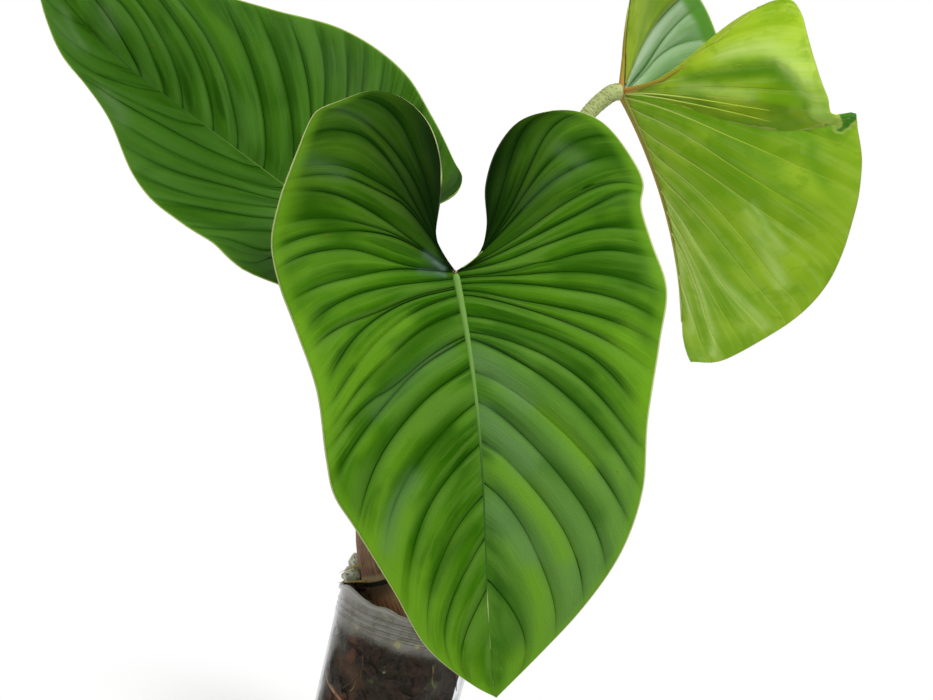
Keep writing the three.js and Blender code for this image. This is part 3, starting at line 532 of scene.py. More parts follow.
def tube(points, radii, sides):
    """Vertices and faces of a closed tube; radii holds one radius a point, or one a point and side."""
    points = np.asarray(points, float)
    arms, others = frames_along(points)
    radii = np.broadcast_to(np.asarray(radii, float).reshape(len(points), -1), (len(points), sides))
    turns = np.linspace(0, 2 * np.pi, sides, endpoint=False)
    ring = arms[:, None] * np.cos(turns)[None, :, None] + others[:, None] * np.sin(turns)[None, :, None]
    skin = points[:, None] + ring * radii[:, :, None]
    return np.vstack([skin.reshape(-1, 3), points[:1], points[-1:]]), closed_rings(len(points), sides)


class Pile:
    """Collects the vertices, faces and attributes of many small shapes for one piece."""

    def __init__(self):
        self.points = []
        self.faces = []
        self.values = {}
        self.count = 0

    def add(self, points, faces, **values):
        points = np.asarray(points, float)
        self.points.append(points)
        self.faces.extend([[corner + self.count for corner in face] for face in faces])
        for key, value in values.items():
            self.values.setdefault(key, []).append(np.broadcast_to(np.asarray(value, float), (len(points),)))
        self.count += len(points)

    def make(self, name, slot, materials, kinds=None):
        attributes = {key: np.concatenate(parts) for key, parts in self.values.items()}
        return mesh_object(name, np.vstack(self.points), self.faces, materials, kinds, attributes)


# Materials


class Value:
    """One output of a node. Arithmetic on it adds more nodes."""

    def __init__(self, shader, socket):
        self.shader = shader
        self.socket = socket

    def math(self, operation, *inputs):
        return self.shader.node("ShaderNodeMath", dict(enumerate(inputs)), operation=operation)

    def __add__(self, other):
        return self.math("ADD", self, other)

    def __sub__(self, other):
        return self.math("SUBTRACT", self, other)

    def __rsub__(self, other):
        return self.math("SUBTRACT", other, self)

    def __mul__(self, other):
        return self.math("MULTIPLY", self, other)

    def __abs__(self):
        return self.math("ABSOLUTE", self)

    def fraction(self):
        return self.math("FRACT", self)

    def least(self, other):
        return self.math("MINIMUM", self, other)

    def most(self, other):
        return self.math("MAXIMUM", self, other)

    def step(self, low, high, to_low=0.0, to_high=1.0):
        """A smooth step from to_low at low to to_high at high."""
        return self.shader.node("ShaderNodeMapRange", dict(enumerate((self, low, high, to_low, to_high))),
                                interpolation_type="SMOOTHSTEP")


class Shader:
    """A node material, built from short calls. Each paint lays a colour over those before it."""

    def __init__(self, name, colour, gloss=0.5):
        self.material = bpy.data.materials.new(name)
        self.material.use_nodes = True
        self.tree = self.material.node_tree
        self.surface = self.tree.nodes["Principled BSDF"]
        self.surface.inputs["Specular IOR Level"].default_value = gloss
        self.colour = colour

    def put(self, value, socket):
        if isinstance(value, Value):
            self.tree.links.new(value.socket, socket)
        elif socket.type == "RGBA" and len(value) == 3:
            socket.default_value = (*value, 1)
        else:
            socket.default_value = value

    def node(self, kind, inputs, output=0, **properties):
        made = self.tree.nodes.new(kind)
        for key, value in properties.items():
            setattr(made, key, value)
        for key, value in inputs.items():
            self.put(value, made.inputs[key])
        return Value(self, made.outputs[output])

    def mix(self, share, a, b, blend="MIX"):
        inputs = {0: share, 6: a, 7: b}
        return self.node("ShaderNodeMix", inputs, output=2, data_type="RGBA", blend_type=blend)

    def paint(self, share, colour, blend="MIX"):
        self.colour = self.mix(share, self.colour, colour, blend)

    def read(self, *names):
        """What the mesh says at each vertex, by the names of its attributes."""
        return [self.node("ShaderNodeAttribute", {}, output="Fac", attribute_name=name) for name in names]

    def vector(self, x, y, z=0.0):
        return self.node("ShaderNodeCombineXYZ", {0: x, 1: y, 2: z})

    def position(self):
        return self.node("ShaderNodeTexCoord", {}, output="Object")

    def noise(self, scale, vector=None, detail=3.0, roughness=0.5):
        vector = vector or self.position()
        inputs = {"Vector": vector, "Scale": scale, "Detail": detail, "Roughness": roughness}
        return self.node("ShaderNodeTexNoise", inputs)

    def streaks(self, across, along, detail=3.0, roughness=0.5, level=0.0):
        """Noise on two values of the mesh, each already multiplied by how fine the streaks are that way."""
        return self.noise(1.0, self.vector(across, along, level), detail, roughness)

    def cells(self, scale, vector=None):
        inputs = {"Vector": vector or self.position(), "Scale": scale}
        return self.node("ShaderNodeTexVoronoi", inputs, output="Distance")

    def bump(self, height, strength, distance, below=None):
        inputs = {"Height": height, "Strength": strength, "Distance": distance}
        if below is not None:
            inputs["Normal"] = below
        return self.node("ShaderNodeBump", inputs)

    def finish(self, roughness, normal=None):
        self.put(self.colour, self.surface.inputs["Base Color"])
        self.put(roughness, self.surface.inputs["Roughness"])
        if normal is not None:
            self.put(normal, self.surface.inputs["Normal"])
        return self.material

    def blend_surface(self, share, first, second):
        """Makes the material a mix of two shaders."""
        both = self.node("ShaderNodeMixShader", {0: share, 1: first, 2: second})
        self.put(both, self.tree.nodes["Material Output"].inputs["Surface"])

    def whole_surface(self):
        return Value(self, self.surface.outputs[0])

    def let_light_through(self, share, colour):
        """Mixes in a translucent shader, so that light from behind shows."""
        glow = self.node("ShaderNodeBsdfTranslucent", {"Color": colour})
        self.blend_surface(share, self.whole_surface(), glow)


# Looks of the leaves: colours and how strongly each is laid on. Painted shade: shade, flank, band, gloom,
# gloom_share, under_dark, dusk where the dark touches lay it, and notch_edge on the front and left leaves;
# the thin vein lines are partly the veins' own colour. Painted highlight and sheen: light on the pillows'
# crests, sheen, tip and under_sheen. Painted glow, partly the blade's own yellow-green: yellow, glow and the
# rim.
LOOKS = {
    "front": {
        "deep": (0.03, 0.13, 0.001), "base": (0.062, 0.195, 0.004), "light": (0.112, 0.25, 0.025),
        "dusk": (0.018, 0.085, 0.001), "yellow": (0.16, 0.36, 0.015), "glow": 0.7,
        "shade": (0.006, 0.045, 0.001), "vein": (0.003, 0.018, 0.001), "flank": 0.45, "band": 0.35,
        "rim_width": 9, "rim_start": 0.1, "rim_share": 0.5, "margin": (0.56, 0.6, 0.26),
        "tip": (0.15, 0.3, 0.07), "sheen": (0.13, 0.25, 0.085), "gloss": 0.015, "rough": 0.4,
        "gloom": (0.0008, 0.0085, 0.0002), "gloom_share": 0.98, "notch_edge": (0.001, 0.008, 0.0003),
        "through": 0.2, "glowing": (0.2, 0.5, 0.005),
        "midrib": (0.12, 0.25, 0.04), "midrib_end": (0.025, 0.09, 0.006), "notch_rib": (0.015, 0.045, 0.003),
        "ochre": (0.2, 0.25, 0.04), "rust": (0.07, 0.045, 0.012), "rib_fade": 0.0,
        "under": (0.2, 0.38, 0.02), "under_deep": (0.15, 0.31, 0.012), "under_pale": (0.32, 0.48, 0.08),
        "under_vein": (0.33, 0.45, 0.08), "under_dark": (0.12, 0.26, 0.01), "under_sheen": (0.32, 0.48, 0.08),
    },
    "left": {
        "deep": (0.028, 0.105, 0.003), "base": (0.047, 0.15, 0.007), "light": (0.072, 0.185, 0.024),
        "dusk": (0.014, 0.062, 0.0012), "yellow": (0.075, 0.2, 0.008), "glow": 0.5,
        "shade": (0.012, 0.06, 0.002), "vein": (0.006, 0.03, 0.001), "flank": 0.35, "band": 0.4,
        "rim_width": 6, "rim_start": 0.2, "rim_share": 0.25, "margin": (0.3, 0.4, 0.08),
        "tip": (0.05, 0.15, 0.01), "sheen": (0.1, 0.18, 0.06), "gloss": 0.025, "rough": 0.4,
        "gloom": (0.004, 0.025, 0.0006), "gloom_share": 0.7, "notch_edge": (0.004, 0.025, 0.0006),
        "through": 0.12, "glowing": (0.15, 0.4, 0.005),
        "midrib": (0.1, 0.18, 0.02), "midrib_end": (0.008, 0.035, 0.003), "notch_rib": (0.1, 0.18, 0.02),
        "ochre": (0.2, 0.25, 0.04), "rust": (0.28, 0.15, 0.03), "rib_fade": 0.5,
        "under": (0.18, 0.34, 0.02), "under_deep": (0.13, 0.28, 0.012), "under_pale": (0.28, 0.42, 0.08),
        "under_vein": (0.3, 0.4, 0.08), "under_dark": (0.1, 0.23, 0.01), "under_sheen": (0.28, 0.42, 0.08),
    },
    "right": {
        # The right leaf's pale grey-green upper colours are a painted sky sheen; far_part and near_half make
        # them green where it doesn't reach
        "deep": (0.28, 0.4, 0.22), "base": (0.37, 0.48, 0.3), "light": (0.47, 0.56, 0.42),
        "dusk": (0.22, 0.36, 0.15), "yellow": (0.07, 0.22, 0.005), "glow": 0.15,
        "shade": (0.08, 0.2, 0.04), "vein": (0.03, 0.12, 0.01), "flank": 0.2, "band": 0.4,
        "rim_width": 16, "rim_start": 0.6, "rim_share": 0.95, "margin": (0.5, 0.55, 0.12),
        "tip": (0.2, 0.33, 0.1), "sheen": (0.5, 0.6, 0.45), "gloss": 0.4, "rough": 0.34,
        "gloom": (0.08, 0.2, 0.03), "gloom_share": 0.15, "notch_edge": (0.4, 0.2, 0.03),
        "through": 0.3, "glowing": (0.35, 0.7, 0.01),
        "near_half": (0.45, 0.8, 0.08), "far_part": (0.25, 0.55, 0.06),
        "midrib": (0.36, 0.42, 0.1), "midrib_end": (0.2, 0.3, 0.05), "notch_rib": (0.3, 0.24, 0.02),
        "ochre": (0.3, 0.24, 0.02), "rust": (0.42, 0.18, 0.03), "rib_fade": 1.0, "turned": (0.04, 0.15, 0.02),
        "under": (0.5, 0.65, 0.03), "under_deep": (0.22, 0.37, 0.004), "under_pale": (0.6, 0.72, 0.19),
        "under_vein": (0.5, 0.62, 0.12), "under_dark": (0.14, 0.31, 0.004), "under_sheen": (0.72, 0.83, 0.27),
    },
}
# A painted blue-grey sheen by the front leaf's joint
SILVER_SHEEN = (0.16, 0.25, 0.2)
JOINT_BROWN = (0.1, 0.05, 0.03)
SPECK_BROWN = (0.16, 0.08, 0.01)


def leaf_upper_material(name, look):
    """The upper face: bands between sunken veins, painted shade towards the notch, painted highlights, sheen
    and glow, and a thin pale margin.
    """
    shader = Shader(name, look["deep"], look["gloss"])
    phase, along, spacing, rim, gloom = shader.read("phase", "along", "spacing", "rim", "gloom")
    t, x, y, reach = shader.read("share", "flat_x", "flat_y", "reach")
    share = phase.fraction()
    near = share.least(1.0 - share)
    distance = near * spacing
    flat = shader.vector(x, y)

    # Broad patches, then streaks that follow the veins
    shader.paint(shader.noise(0.022, flat, 2.0).step(0.35, 0.65), look["base"])
    tones = shader.streaks(phase * 1.3, along * 1.7, 1.0, level=3.0)
    shader.paint(tones.step(0.5, 0.64, 0.0, 0.8), look["light"])
    shader.paint(tones.step(0.48, 0.36, 0.0, 0.85), look["dusk"])
    streaks = shader.streaks(phase * 5.0, along * 1.6, 4.0, 0.6)
    shader.paint(streaks.step(0.42, 0.7, 0.0, 0.75), look["light"])
    threads = shader.streaks(phase * 17.0, along * 3.0)
    shader.paint(threads.step(0.5, 0.75, 0.0, 0.35), look["deep"])

    # Each pillow has a painted highlight on the side towards the notch, and yellow-green outwards and towards
    # the tip, partly its own colour and partly painted glow
    crest_highlight = share.step(0.04, 0.16) * share.step(0.5, 0.2) * tones.step(0.35, 0.6, 0.25, 0.75)
    shader.paint(crest_highlight, look["light"])
    yellow = near.step(0.1, 0.4) * along.step(0.15, 0.8) * (t.step(0.1, 0.9, 0.45, 1.0) * look["glow"])
    shader.paint(yellow * shader.noise(0.035, flat, 2.0).step(0.35, 0.6, 0.15, 1.0), look["yellow"])

    # The right leaf's pale face is a painted sky sheen; where that sheen doesn't reach, the face is green
    if "far_part" in look:
        onwards = t.step(0.36, 0.6)
        near_half = x.step(0.0, 2.0) * (1.0 - onwards)
        shader.paint(onwards, look["far_part"], "MULTIPLY")
        shader.paint(near_half, look["near_half"], "MULTIPLY")

    # Painted sheen, paler towards the tip of the right half
    shader.paint(x.step(10.0, -35.0) * t.step(0.5, 0.85, 0.0, 0.75), look["tip"])

    # Painted shade in dark bands on the sunken veins, deeper on the side towards the notch, and thin dark
    # lines on the veins, partly their own colour and partly painted shade
    fading = t.step(0.65, 0.9, 1.0, 0.5) * along.step(0.78, 0.98, 1.0, 0.3)
    shader.paint(share.step(0.55, 1.0, 0.0, look["flank"]) * fading, look["shade"])
    shader.paint(distance.step(0.3, 2.0, look["band"], 0.0) * fading, look["shade"])
    shader.paint(distance.step(0.2, 0.5, 0.95, 0.0) * along.step(0.75, 0.97, 1.0, 0.15), look["vein"])

    # Touches of shade, sun and sheen, broken up by the streaks
    broken = streaks.step(0.3, 0.6, 0.65, 1.0)
    dark, sun, pale, silver_sheen = (touch * broken for touch in shader.read("dark", "sun", "pale", "silver_sheen"))
    shader.paint(dark, look["dusk"])
    shader.paint(sun, look["yellow"])
    shader.paint(pale, look["sheen"])

    # Painted shade by the notch and the joint, a painted silver sheen by the joint, mottled, then the yellow
    # rim, partly its own colour and partly painted glow, kept out of the painted shade
    shader.paint(gloom * look["gloom_share"], look["gloom"])
    shader.paint(silver_sheen, SILVER_SHEEN)
    lit = gloom.step(0.45, 0.9, 1.0, 0.0)
    shader.paint(shader.noise(1.6, flat, roughness=0.7).step(0.3, 0.7, 0.22, 0.0), look["vein"])
    edge = rim.step(look["rim_width"] * look["rim_start"], look["rim_width"], look["rim_share"], 0.0)
    shader.paint(edge * lit, look["yellow"])
    if "far_part" in look:
        shader.paint(near_half * 0.75, look["under"])

    # The pale margin, the brown joint and a few specks
    outer = along.step(0.26, 0.36) * x.step(-1.5, 0.5)
    lit_edge = lit.step(0.0, 0.5, 0.1, 1.0).most(outer)
    shader.paint(rim.step(0.45, 1.0, 0.9, 0.0) * lit_edge, look["margin"])
    shader.paint(reach.step(0.8, 2.2, 0.8, 0.0), JOINT_BROWN)
    specks = shader.cells(0.07, flat).step(0.045, 0.03) * shader.noise(0.02, flat).step(0.52, 0.54)
    shader.paint(specks * 0.8, SPECK_BROWN)

    grain = shader.noise(0.9, flat, 2.0)
    normal = shader.bump(shader.streaks(phase * 26.0, along * 5.0), 0.5, 0.0007)
    normal = shader.bump(grain, 0.15, 0.0004, normal)
    material = shader.finish(grain.step(0.2, 0.8, look["rough"] - 0.05, look["rough"] + 0.06), normal)
    # The light let through takes the painted shade's colour by the notch and the joint
    shader.let_light_through(look["through"], shader.mix(gloom, look["glowing"], look["gloom"]))
    return material


def leaf_under_material(name, look):
    """The underside: bright and even, with pale veins, streaks between them and rust beside the bare ribs."""
    shader = Shader(name, look["under_deep"], 0.15)
    phase, along, spacing, rim, midrib = shader.read("phase", "along", "spacing", "rim", "midrib")
    t, x, y, turned = shader.read("share", "flat_x", "flat_y", "turned")
    share = phase.fraction()
    distance = share.least(1.0 - share) * spacing
    flat = shader.vector(x, y)

    # Patches, streaks, a soft shadow beside each vein and the pale veins
    shader.paint(shader.noise(0.025, flat, 2.0).step(0.3, 0.7), look["under"])
    streaks = shader.streaks(phase * 4.0, along * 1.8, 4.0, 0.6)
    shader.paint(streaks.step(0.45, 0.75, 0.0, 0.7), look["under_pale"])
    shader.paint(share.step(0.45, 0.95, 0.0, 0.35), look["under_deep"])
    pale_vein = distance.step(0.3, 3.2, 0.45, 0.0) * along.step(0.1, 0.7, 1.0, 0.1)
    shader.paint(pale_vein * t.step(0.35, 0.6, 0.4, 1.0), look["under_vein"])
    shader.paint(shader.noise(0.08, flat, roughness=0.65).step(0.5, 0.36, 0.0, 0.55), look["under_deep"])

    # Painted touches of glow, shade and sheen, then rust by the midrib, the pale rim and the turned corner
    broken = streaks.step(0.3, 0.6, 0.5, 1.0)
    dark, sun, pale = (touch * broken for touch in shader.read("dark", "sun", "pale"))
    shader.paint(sun, look["under"])
    shader.paint(dark, look["under_dark"])
    shader.paint(pale, look["under_sheen"])
    shader.paint(midrib.step(2.0, 9.0, 0.85, 0.0) * t.step(0.55, 0.4), look["rust"])
    shader.paint(rim.step(0.2, 0.9, 0.8, 0.0), look["margin"])
    shader.paint(midrib.step(1.5, 6.0, 0.6, 0.0) * t.step(0.8, 0.5), look["rust"])
    if "turned" in look:
        shader.paint(turned.step(0.05, 0.25), look["margin"])
        shader.paint(turned.step(0.4, 0.6), look["turned"])
    material = shader.finish(0.5, shader.bump(shader.streaks(phase * 22.0, along * 6.0), 0.25, 0.0005))
    shader.let_light_through(look["through"] + 0.1, look["glowing"])
    return material


def leaf_margin_material(name, look):
    """The thin edge all round: pale, and in the notch painted shade on the front and left leaves and orange
    on the right one.
    """
    shader = Shader(name, look["margin"])
    gloom, along = shader.read("gloom", "along")
    shader.paint(shader.noise(900.0, detail=2.0).step(0.45, 0.8), look["yellow"])
    shader.paint(gloom.step(0.5, 0.92) * along.step(0.26, 0.36, 1.0, 0.0), look["notch_edge"])
    return shader.finish(0.5)


def rib_material(name, look):
    """Ribs under the blade: rusty by the stalk, then yellow-green; the midrib's upper side is paler."""
    shader = Shader(name, look["rust"], 0.25)
    reach, brown, notch, outwards, upper = shader.read("reach", "brown", "notch", "outwards", "upper")
    speckle = shader.noise(700.0)
    ochre = shader.mix(notch, shader.mix(brown, look["under_vein"], look["ochre"]), look["notch_rib"])
    far = shader.mix(reach.step(0.6, 1.0, 0.0, look["rib_fade"]), ochre, look["under_vein"])
    shader.paint((reach + speckle * 0.15).step(0.08, 0.3), far)
    shader.paint(outwards.step(0.12, 0.55, 0.0, 0.93), look["under"])
    above = shader.mix(reach.step(0.52, 0.7), look["midrib"], look["midrib_end"])
    above = shader.mix(reach.step(0.0, 0.035, 0.8, 0.0), above, (0.16, 0.09, 0.05))
    frayed = reach.step(0.85, 0.88) * reach.step(0.965, 0.94, 0.0, 0.6)
    shader.paint(upper, shader.mix(frayed, above, look["margin"]))
    return shader.finish(0.5, shader.bump(speckle, 0.2, 0.0003))


def stalk_material():
    """Pale green and tan, speckled, with the warts paler than the skin between them."""
    shader = Shader("stalk", (0.17, 0.22, 0.05), 0.3)
    speckle = shader.noise(900.0, detail=4.0)
    shader.paint(shader.noise(60.0, detail=2.0).step(0.35, 0.65), (0.21, 0.24, 0.075))
    shader.paint(shader.read("wart")[0].step(0.05, 0.6), (0.35, 0.4, 0.15))
    shader.paint(speckle.step(0.55, 0.7, 0.0, 0.4), (0.28, 0.22, 0.1))
    return shader.finish(0.55, shader.bump(speckle, 0.3, 0.0003))


def pot_material():
    """Clear plastic: frosted above the mix, grooved under the lip with painted shade in the grooves, hazy at
    the left and right sides with a painted sheen of the wall seen edge-on, with spots of algae.
    """
    shader = Shader("clear_plastic", (0.3, 0.29, 0.26))
    place = shader.position()
    x = shader.node("ShaderNodeSeparateXYZ", {0: place}, output="X")
    height = shader.node("ShaderNodeSeparateXYZ", {0: place}, output="Z")
    sideways = abs(x)
    cloud = shader.noise(45.0)
    grime = shader.noise(140.0, detail=4.0, roughness=0.65)

    # How much of the wall is hazy, with a painted haze at the left and right sides for the sheen of a wall
    # seen edge-on
    band = (height + cloud * 0.006).step(0.091, 0.1, 0.0, 0.62)
    sides = (sideways + (cloud - 0.5) * 0.012).step(0.034, 0.0405, 0.0, 0.5)
    foot = height.step(0.0, 0.004, 0.2, 0.0)
    opacity = (cloud.step(0.45, 0.75, 0.01, 0.1) + foot + sides.most(band)).least(1.0)

    # Its colour, with the painted pale haze at the left and right sides, then painted shade in the grooves,
    # weaker on the left, and the lip
    shader.paint(grime.step(0.4, 0.65, 0.0, 0.7), (0.17, 0.155, 0.1))
    shader.paint(sideways.step(0.033, 0.0395, 0.0, 0.85), (0.6, 0.58, 0.62))
    rings = ((height - RING_FOOT * MM) * (1 / (RING_PITCH * MM))).fraction()
    groove_shade = abs(rings - 0.5).step(0.12, 0.04) * height.step(0.0945, 0.0955) * height.step(0.106, 0.105)
    shader.paint(groove_shade * x.step(-0.024, -0.012, 0.2, 0.75), (0.05, 0.05, 0.05))
    shader.paint(height.step(0.1075, 0.1095, 0.0, 0.45), (0.5, 0.49, 0.46))

    # Spots of algae, with ragged edges
    for *centre, radius in ALGAE:
        inputs = {0: place, 1: [value * MM for value in centre]}
        away = shader.node("ShaderNodeVectorMath", inputs, output="Value", operation="DISTANCE")
        spot = (away + grime * 0.0022).step((radius + 1.4) * MM, (radius + 0.4) * MM, 0.0, 0.8)
        shader.paint(spot, (0.34, 0.33, 0.1))
        opacity = opacity.most(spot)
    shader.finish(0.22, shader.bump(grime, 0.1, 0.0004))
    clear = shader.node("ShaderNodeBsdfTransparent", {"Color": (0.97, 0.98, 0.98)})
    shader.blend_surface(opacity, clear, shader.whole_surface())
    return shader.material


def fill_material(name, dark, base, light, scale, bump):
    """A rough natural material whose pieces differ in tone."""
    shader = Shader(name, dark, 0.25)
    tone, = shader.read("tone")
    grain = shader.noise(scale, detail=5.0, roughness=0.65)
    shader.paint(grain.step(0.35, 0.65), base)
    shader.paint(shader.noise(scale * 0.18, detail=2.0).step(0.4, 0.65) * tone, light)
    shader.paint(shader.noise(90.0).step(0.6, 0.7) * 0.5, (0.1, 0.12, 0.03))
    return shader.finish(0.85, shader.bump(grain, 0.8, bump))


def pumice_material():
    """Pale pumice, greenish in places and full of small pits, painted dark for the shade inside them."""
    shader = Shader("pumice", (0.36, 0.36, 0.27), 0.2)
    grain = shader.noise(500.0, detail=4.0, roughness=0.7)
    pits = shader.cells(420.0).step(0.36, 0.16) * shader.noise(260.0).step(0.5, 0.6)
    shader.paint(grain.step(0.35, 0.65), (0.78, 0.77, 0.64))
    # Painted shade in the pits
    shader.paint(pits * 0.85, (0.03, 0.03, 0.02))
    shader.paint(shader.noise(120.0, detail=2.0).step(0.5, 0.65, 0.0, 0.5), (0.16, 0.15, 0.05))
    return shader.finish(0.85, shader.bump(grain - pits, 0.8, 0.0009))


def root_material():
    """Smooth waxy roots, ochre or rusty by their tone, with dark flecks."""
    shader = Shader("root", (0.42, 0.29, 0.07), 0.4)
    grain = shader.noise(350.0)
    shader.paint(shader.read("tone")[0], (0.34, 0.12, 0.05))
    shader.paint(grain.step(0.5, 0.75, 0.0, 0.7), (0.14, 0.08, 0.03))
    return shader.finish(0.5, shader.bump(grain, 0.3, 0.0004))


def stem_material():
    """Brown, with painted shade on a stretch between the two front sheaths."""
    shader = Shader("stem", (0.12, 0.09, 0.04), 0.3)
    grain = shader.noise(260.0, detail=4.0)
    height = shader.node("ShaderNodeSeparateXYZ", {0: shader.position()}, output="Z")
    shader.paint(grain.step(0.35, 0.65), (0.28, 0.22, 0.1))
    # Painted shade where the stem shows between the two front sheaths
    shader.paint(height.step(0.106, 0.110) * height.step(0.126, 0.122), (0.015, 0.014, 0.008))
    return shader.finish(0.65, shader.bump(grain, 0.5, 0.0006))


def sheath_material(name, base, dark, pale, cuff, top_shade):
    """Dry, papery and ribbed: streaks run up the sheath, with darker edges and painted shade towards the top
    of the copper sheaths.
    """
    shader = Shader(name, dark, 0.3)
    across, up = shader.read("across", "up")
    shader.paint(shader.streaks(across * 16.0, up * 1.6, 4.0, 0.6).step(0.3, 0.7), base)
    shader.paint(shader.noise(70.0).step(0.45, 0.7, 0.0, 0.5), pale)
    shader.paint(abs(across).step(0.75, 1.0, 0.0, 0.8), (0.05, 0.025, 0.03))
    shader.paint(up.step(0.05, 0.13, 0.85, 0.0), cuff)
    # Painted shade, darker towards the sheath's top
    shader.paint(up.step(0.5, 0.95, 0.0, top_shade), (0.035, 0.025, 0.012))
    return shader.finish(0.6, shader.bump(shader.streaks(across * 60.0, up * 4.0), 0.5, 0.0006))


def floor_material():
    """Pale near the pot, and plain white away from it."""
    shader = Shader("floor", (0.86, 0.86, 0.85), 0.1)
    shader.finish(0.9)
    inputs = {0: shader.position()}
    distance = shader.node("ShaderNodeVectorMath", inputs, output="Value", operation="LENGTH")
    white = shader.node("ShaderNodeEmission", {"Color": (1, 1, 1)})
    shader.blend_surface(distance.step(0.07, 0.24), shader.whole_surface(), white)
    return shader.material


# Leaf blades


class HalfBlade:
    """Half a blade, as in the CAD model: t from 0 to 1 picks a vein and v from 0 to 1 runs along it."""

    def __init__(self, leaf, half, side):
        self.leaf, self.half, self.side = leaf, half, side
        points = np.array([(side * x, y) for x, y in half["outline"]]) * leaf["size"]
        self.curve = Curve(points)
        self.lobe_share = self.curve.share_of(half["lobe_top"])
        self.rib_end = points[0]
        self.rib_length = np.linalg.norm(points[0])
        self.rib_angle = math.atan2(side * points[0][0], points[0][1])
        self.tip = points[-1][1]

    def spine(self, t):
        """Where each vein starts: on the bare rib, round the joint or on the midrib."""
        along = np.clip((t - BASAL_SHARE) / (1 - BASAL_SHARE), 0, 1) ** 2
        forward = np.stack([np.zeros_like(t), mix(START_RADIUS, self.tip, along)], -1)
        back = 1 - t / BASAL_SHARE
        turn = self.rib_angle * np.sqrt(np.clip(back / HOLE_SHARE, 0, 1))
        reach = mix(START_RADIUS, self.rib_length, np.clip((back - HOLE_SHARE) / (1 - HOLE_SHARE), 0, 1))
        backward = np.stack([self.side * np.sin(turn) * reach, np.cos(turn) * reach], -1)
        bow = self.half.get("rib_bow", RIB_BOW) * np.sin(np.pi * np.clip(reach / self.rib_length, 0, 1))
        backward = backward + np.stack([-self.side * np.cos(turn) * bow, np.sin(turn) * bow], -1)
        return np.where((t >= BASAL_SHARE)[..., None], forward, backward)

    def bezier(self, t, v, start, start_angle, leave_angle):
        share = mix(self.lobe_share, 1, t)
        end, tangent = self.curve.at(share), self.curve.direction(share)
        reach = np.linalg.norm(end - start, axis=-1)[..., None]
        leave = np.radians(leave_angle) * self.side
        outward = np.stack([tangent[..., 0] * np.cos(leave) + tangent[..., 1] * np.sin(leave),
                            -tangent[..., 0] * np.sin(leave) + tangent[..., 1] * np.cos(leave)], -1)
        first = np.stack([self.side * np.sin(start_angle), np.cos(start_angle)], -1)
        a, b = start + first * START_PULL * reach, end - outward * END_PULL * reach
        v = v[..., None]
        return start * (1 - v) ** 3 + a * 3 * v * (1 - v) ** 2 + b * 3 * v**2 * (1 - v) + end * v**3

    def vein(self, t, v):
        joint_angle, tip_angle = np.radians(START_ANGLES)
        onwards = mix(joint_angle, tip_angle, (t - BASAL_SHARE) / (1 - BASAL_SHARE))
        start_angle = np.where(t < BASAL_SHARE, mix(self.rib_angle, joint_angle, t / BASAL_SHARE), onwards)
        leave_angle = np.interp(t, LEAVE_PLACES, LEAVE_ANGLES)
        point = self.bezier(t, v, self.spine(t), start_angle, leave_angle)

        # The first veins bend to run along the notch between the lobes
        near = np.clip(1 - t / NOTCH_BEND, 0, 1)[..., None] ** 2
        nought = np.zeros_like(t)
        start = np.broadcast_to(self.rib_end, point.shape)
        straight = self.bezier(nought, v, start, np.full_like(t, self.rib_angle), nought)
        return point + near * (self.curve.at(v * self.lobe_share) - straight)

    def angle_of(self, flat):
        angle = np.arctan2(self.side * flat[..., 0], flat[..., 1])
        return np.where(angle >= 0, angle, np.where(flat[..., 1] < 0, angle + 2 * np.pi, 0))

    def ray(self, angle):
        """The direction in space of a line from the joint at each angle, and the blade's normal there."""
        rise = math.radians(self.half["rise"])
        shape = (*angle.shape, 3)
        ray = np.broadcast_to((0.0, 1.0, 0.0), shape)
        sideways = np.broadcast_to((self.side * math.cos(rise), 0, math.sin(rise)), shape)
        normal = np.broadcast_to((-self.side * math.sin(rise), 0, math.cos(rise)), shape)
        begin = 0
        for end, roll in self.half["rolls"]:
            end = math.radians(end)
            speed = math.hypot(1, roll)
            turn = np.clip(angle - begin, 0, end - begin)[..., None] * speed
            centre = roll * normal - ray
            step = sideways * np.sin(turn) / speed + centre * (1 - np.cos(turn)) / speed**2
            sideways = sideways * np.cos(turn) + centre * np.sin(turn) / speed
            ray = ray + step
            normal = normal - roll * step
            begin = end
        return ray, normal

    def bend(self, flat, lift, v):
        """Places of the flat blade's points, raised by lift, once the blade has drooped, rolled and bowed."""
        leaf = self.leaf
        reach = np.linalg.norm(flat, axis=-1)
        angle = self.angle_of(flat)
        ray, normal = self.ray(angle)
        blend = smooth(angle / math.radians(MIDRIB_BLEND))
        axis = unit(np.array((0, 0, 1.0)) * (1 - blend)[..., None] + normal * blend[..., None])
        bending = mix(leaf["droop"], self.half["curl"], blend)
        bending = np.where(np.abs(bending) < 1e-7, 1e-7, bending)
        bent = ray * (np.sin(bending * reach) / bending)[..., None]
        bent = bent + axis * (lift - (1 - np.cos(bending * reach)) / bending)[..., None]
        along = np.clip(bent[..., 1] / self.tip, 0, 1)
        start = leaf.get("hook_start", HOOK_START)
        tipwards = np.clip((along - start) / (1 - start), 0, 1) ** 2
        bent[..., 0] += leaf["bow"] * np.sin(np.pi * along) + leaf["hook"] * tipwards
        bent[..., 2] += leaf.get("tip_lift", 0) * tipwards
        bent[..., 0] += leaf.get("sway", 0) * np.sin(np.pi * along**2) * (1 - v) ** 2
        return bent

    def wave(self, t, v):
        height, cycles, phase = self.half["wave"]
        return height * v**3 * np.sin(2 * np.pi * cycles * t + phase) * smooth((1 - t) / 0.1)


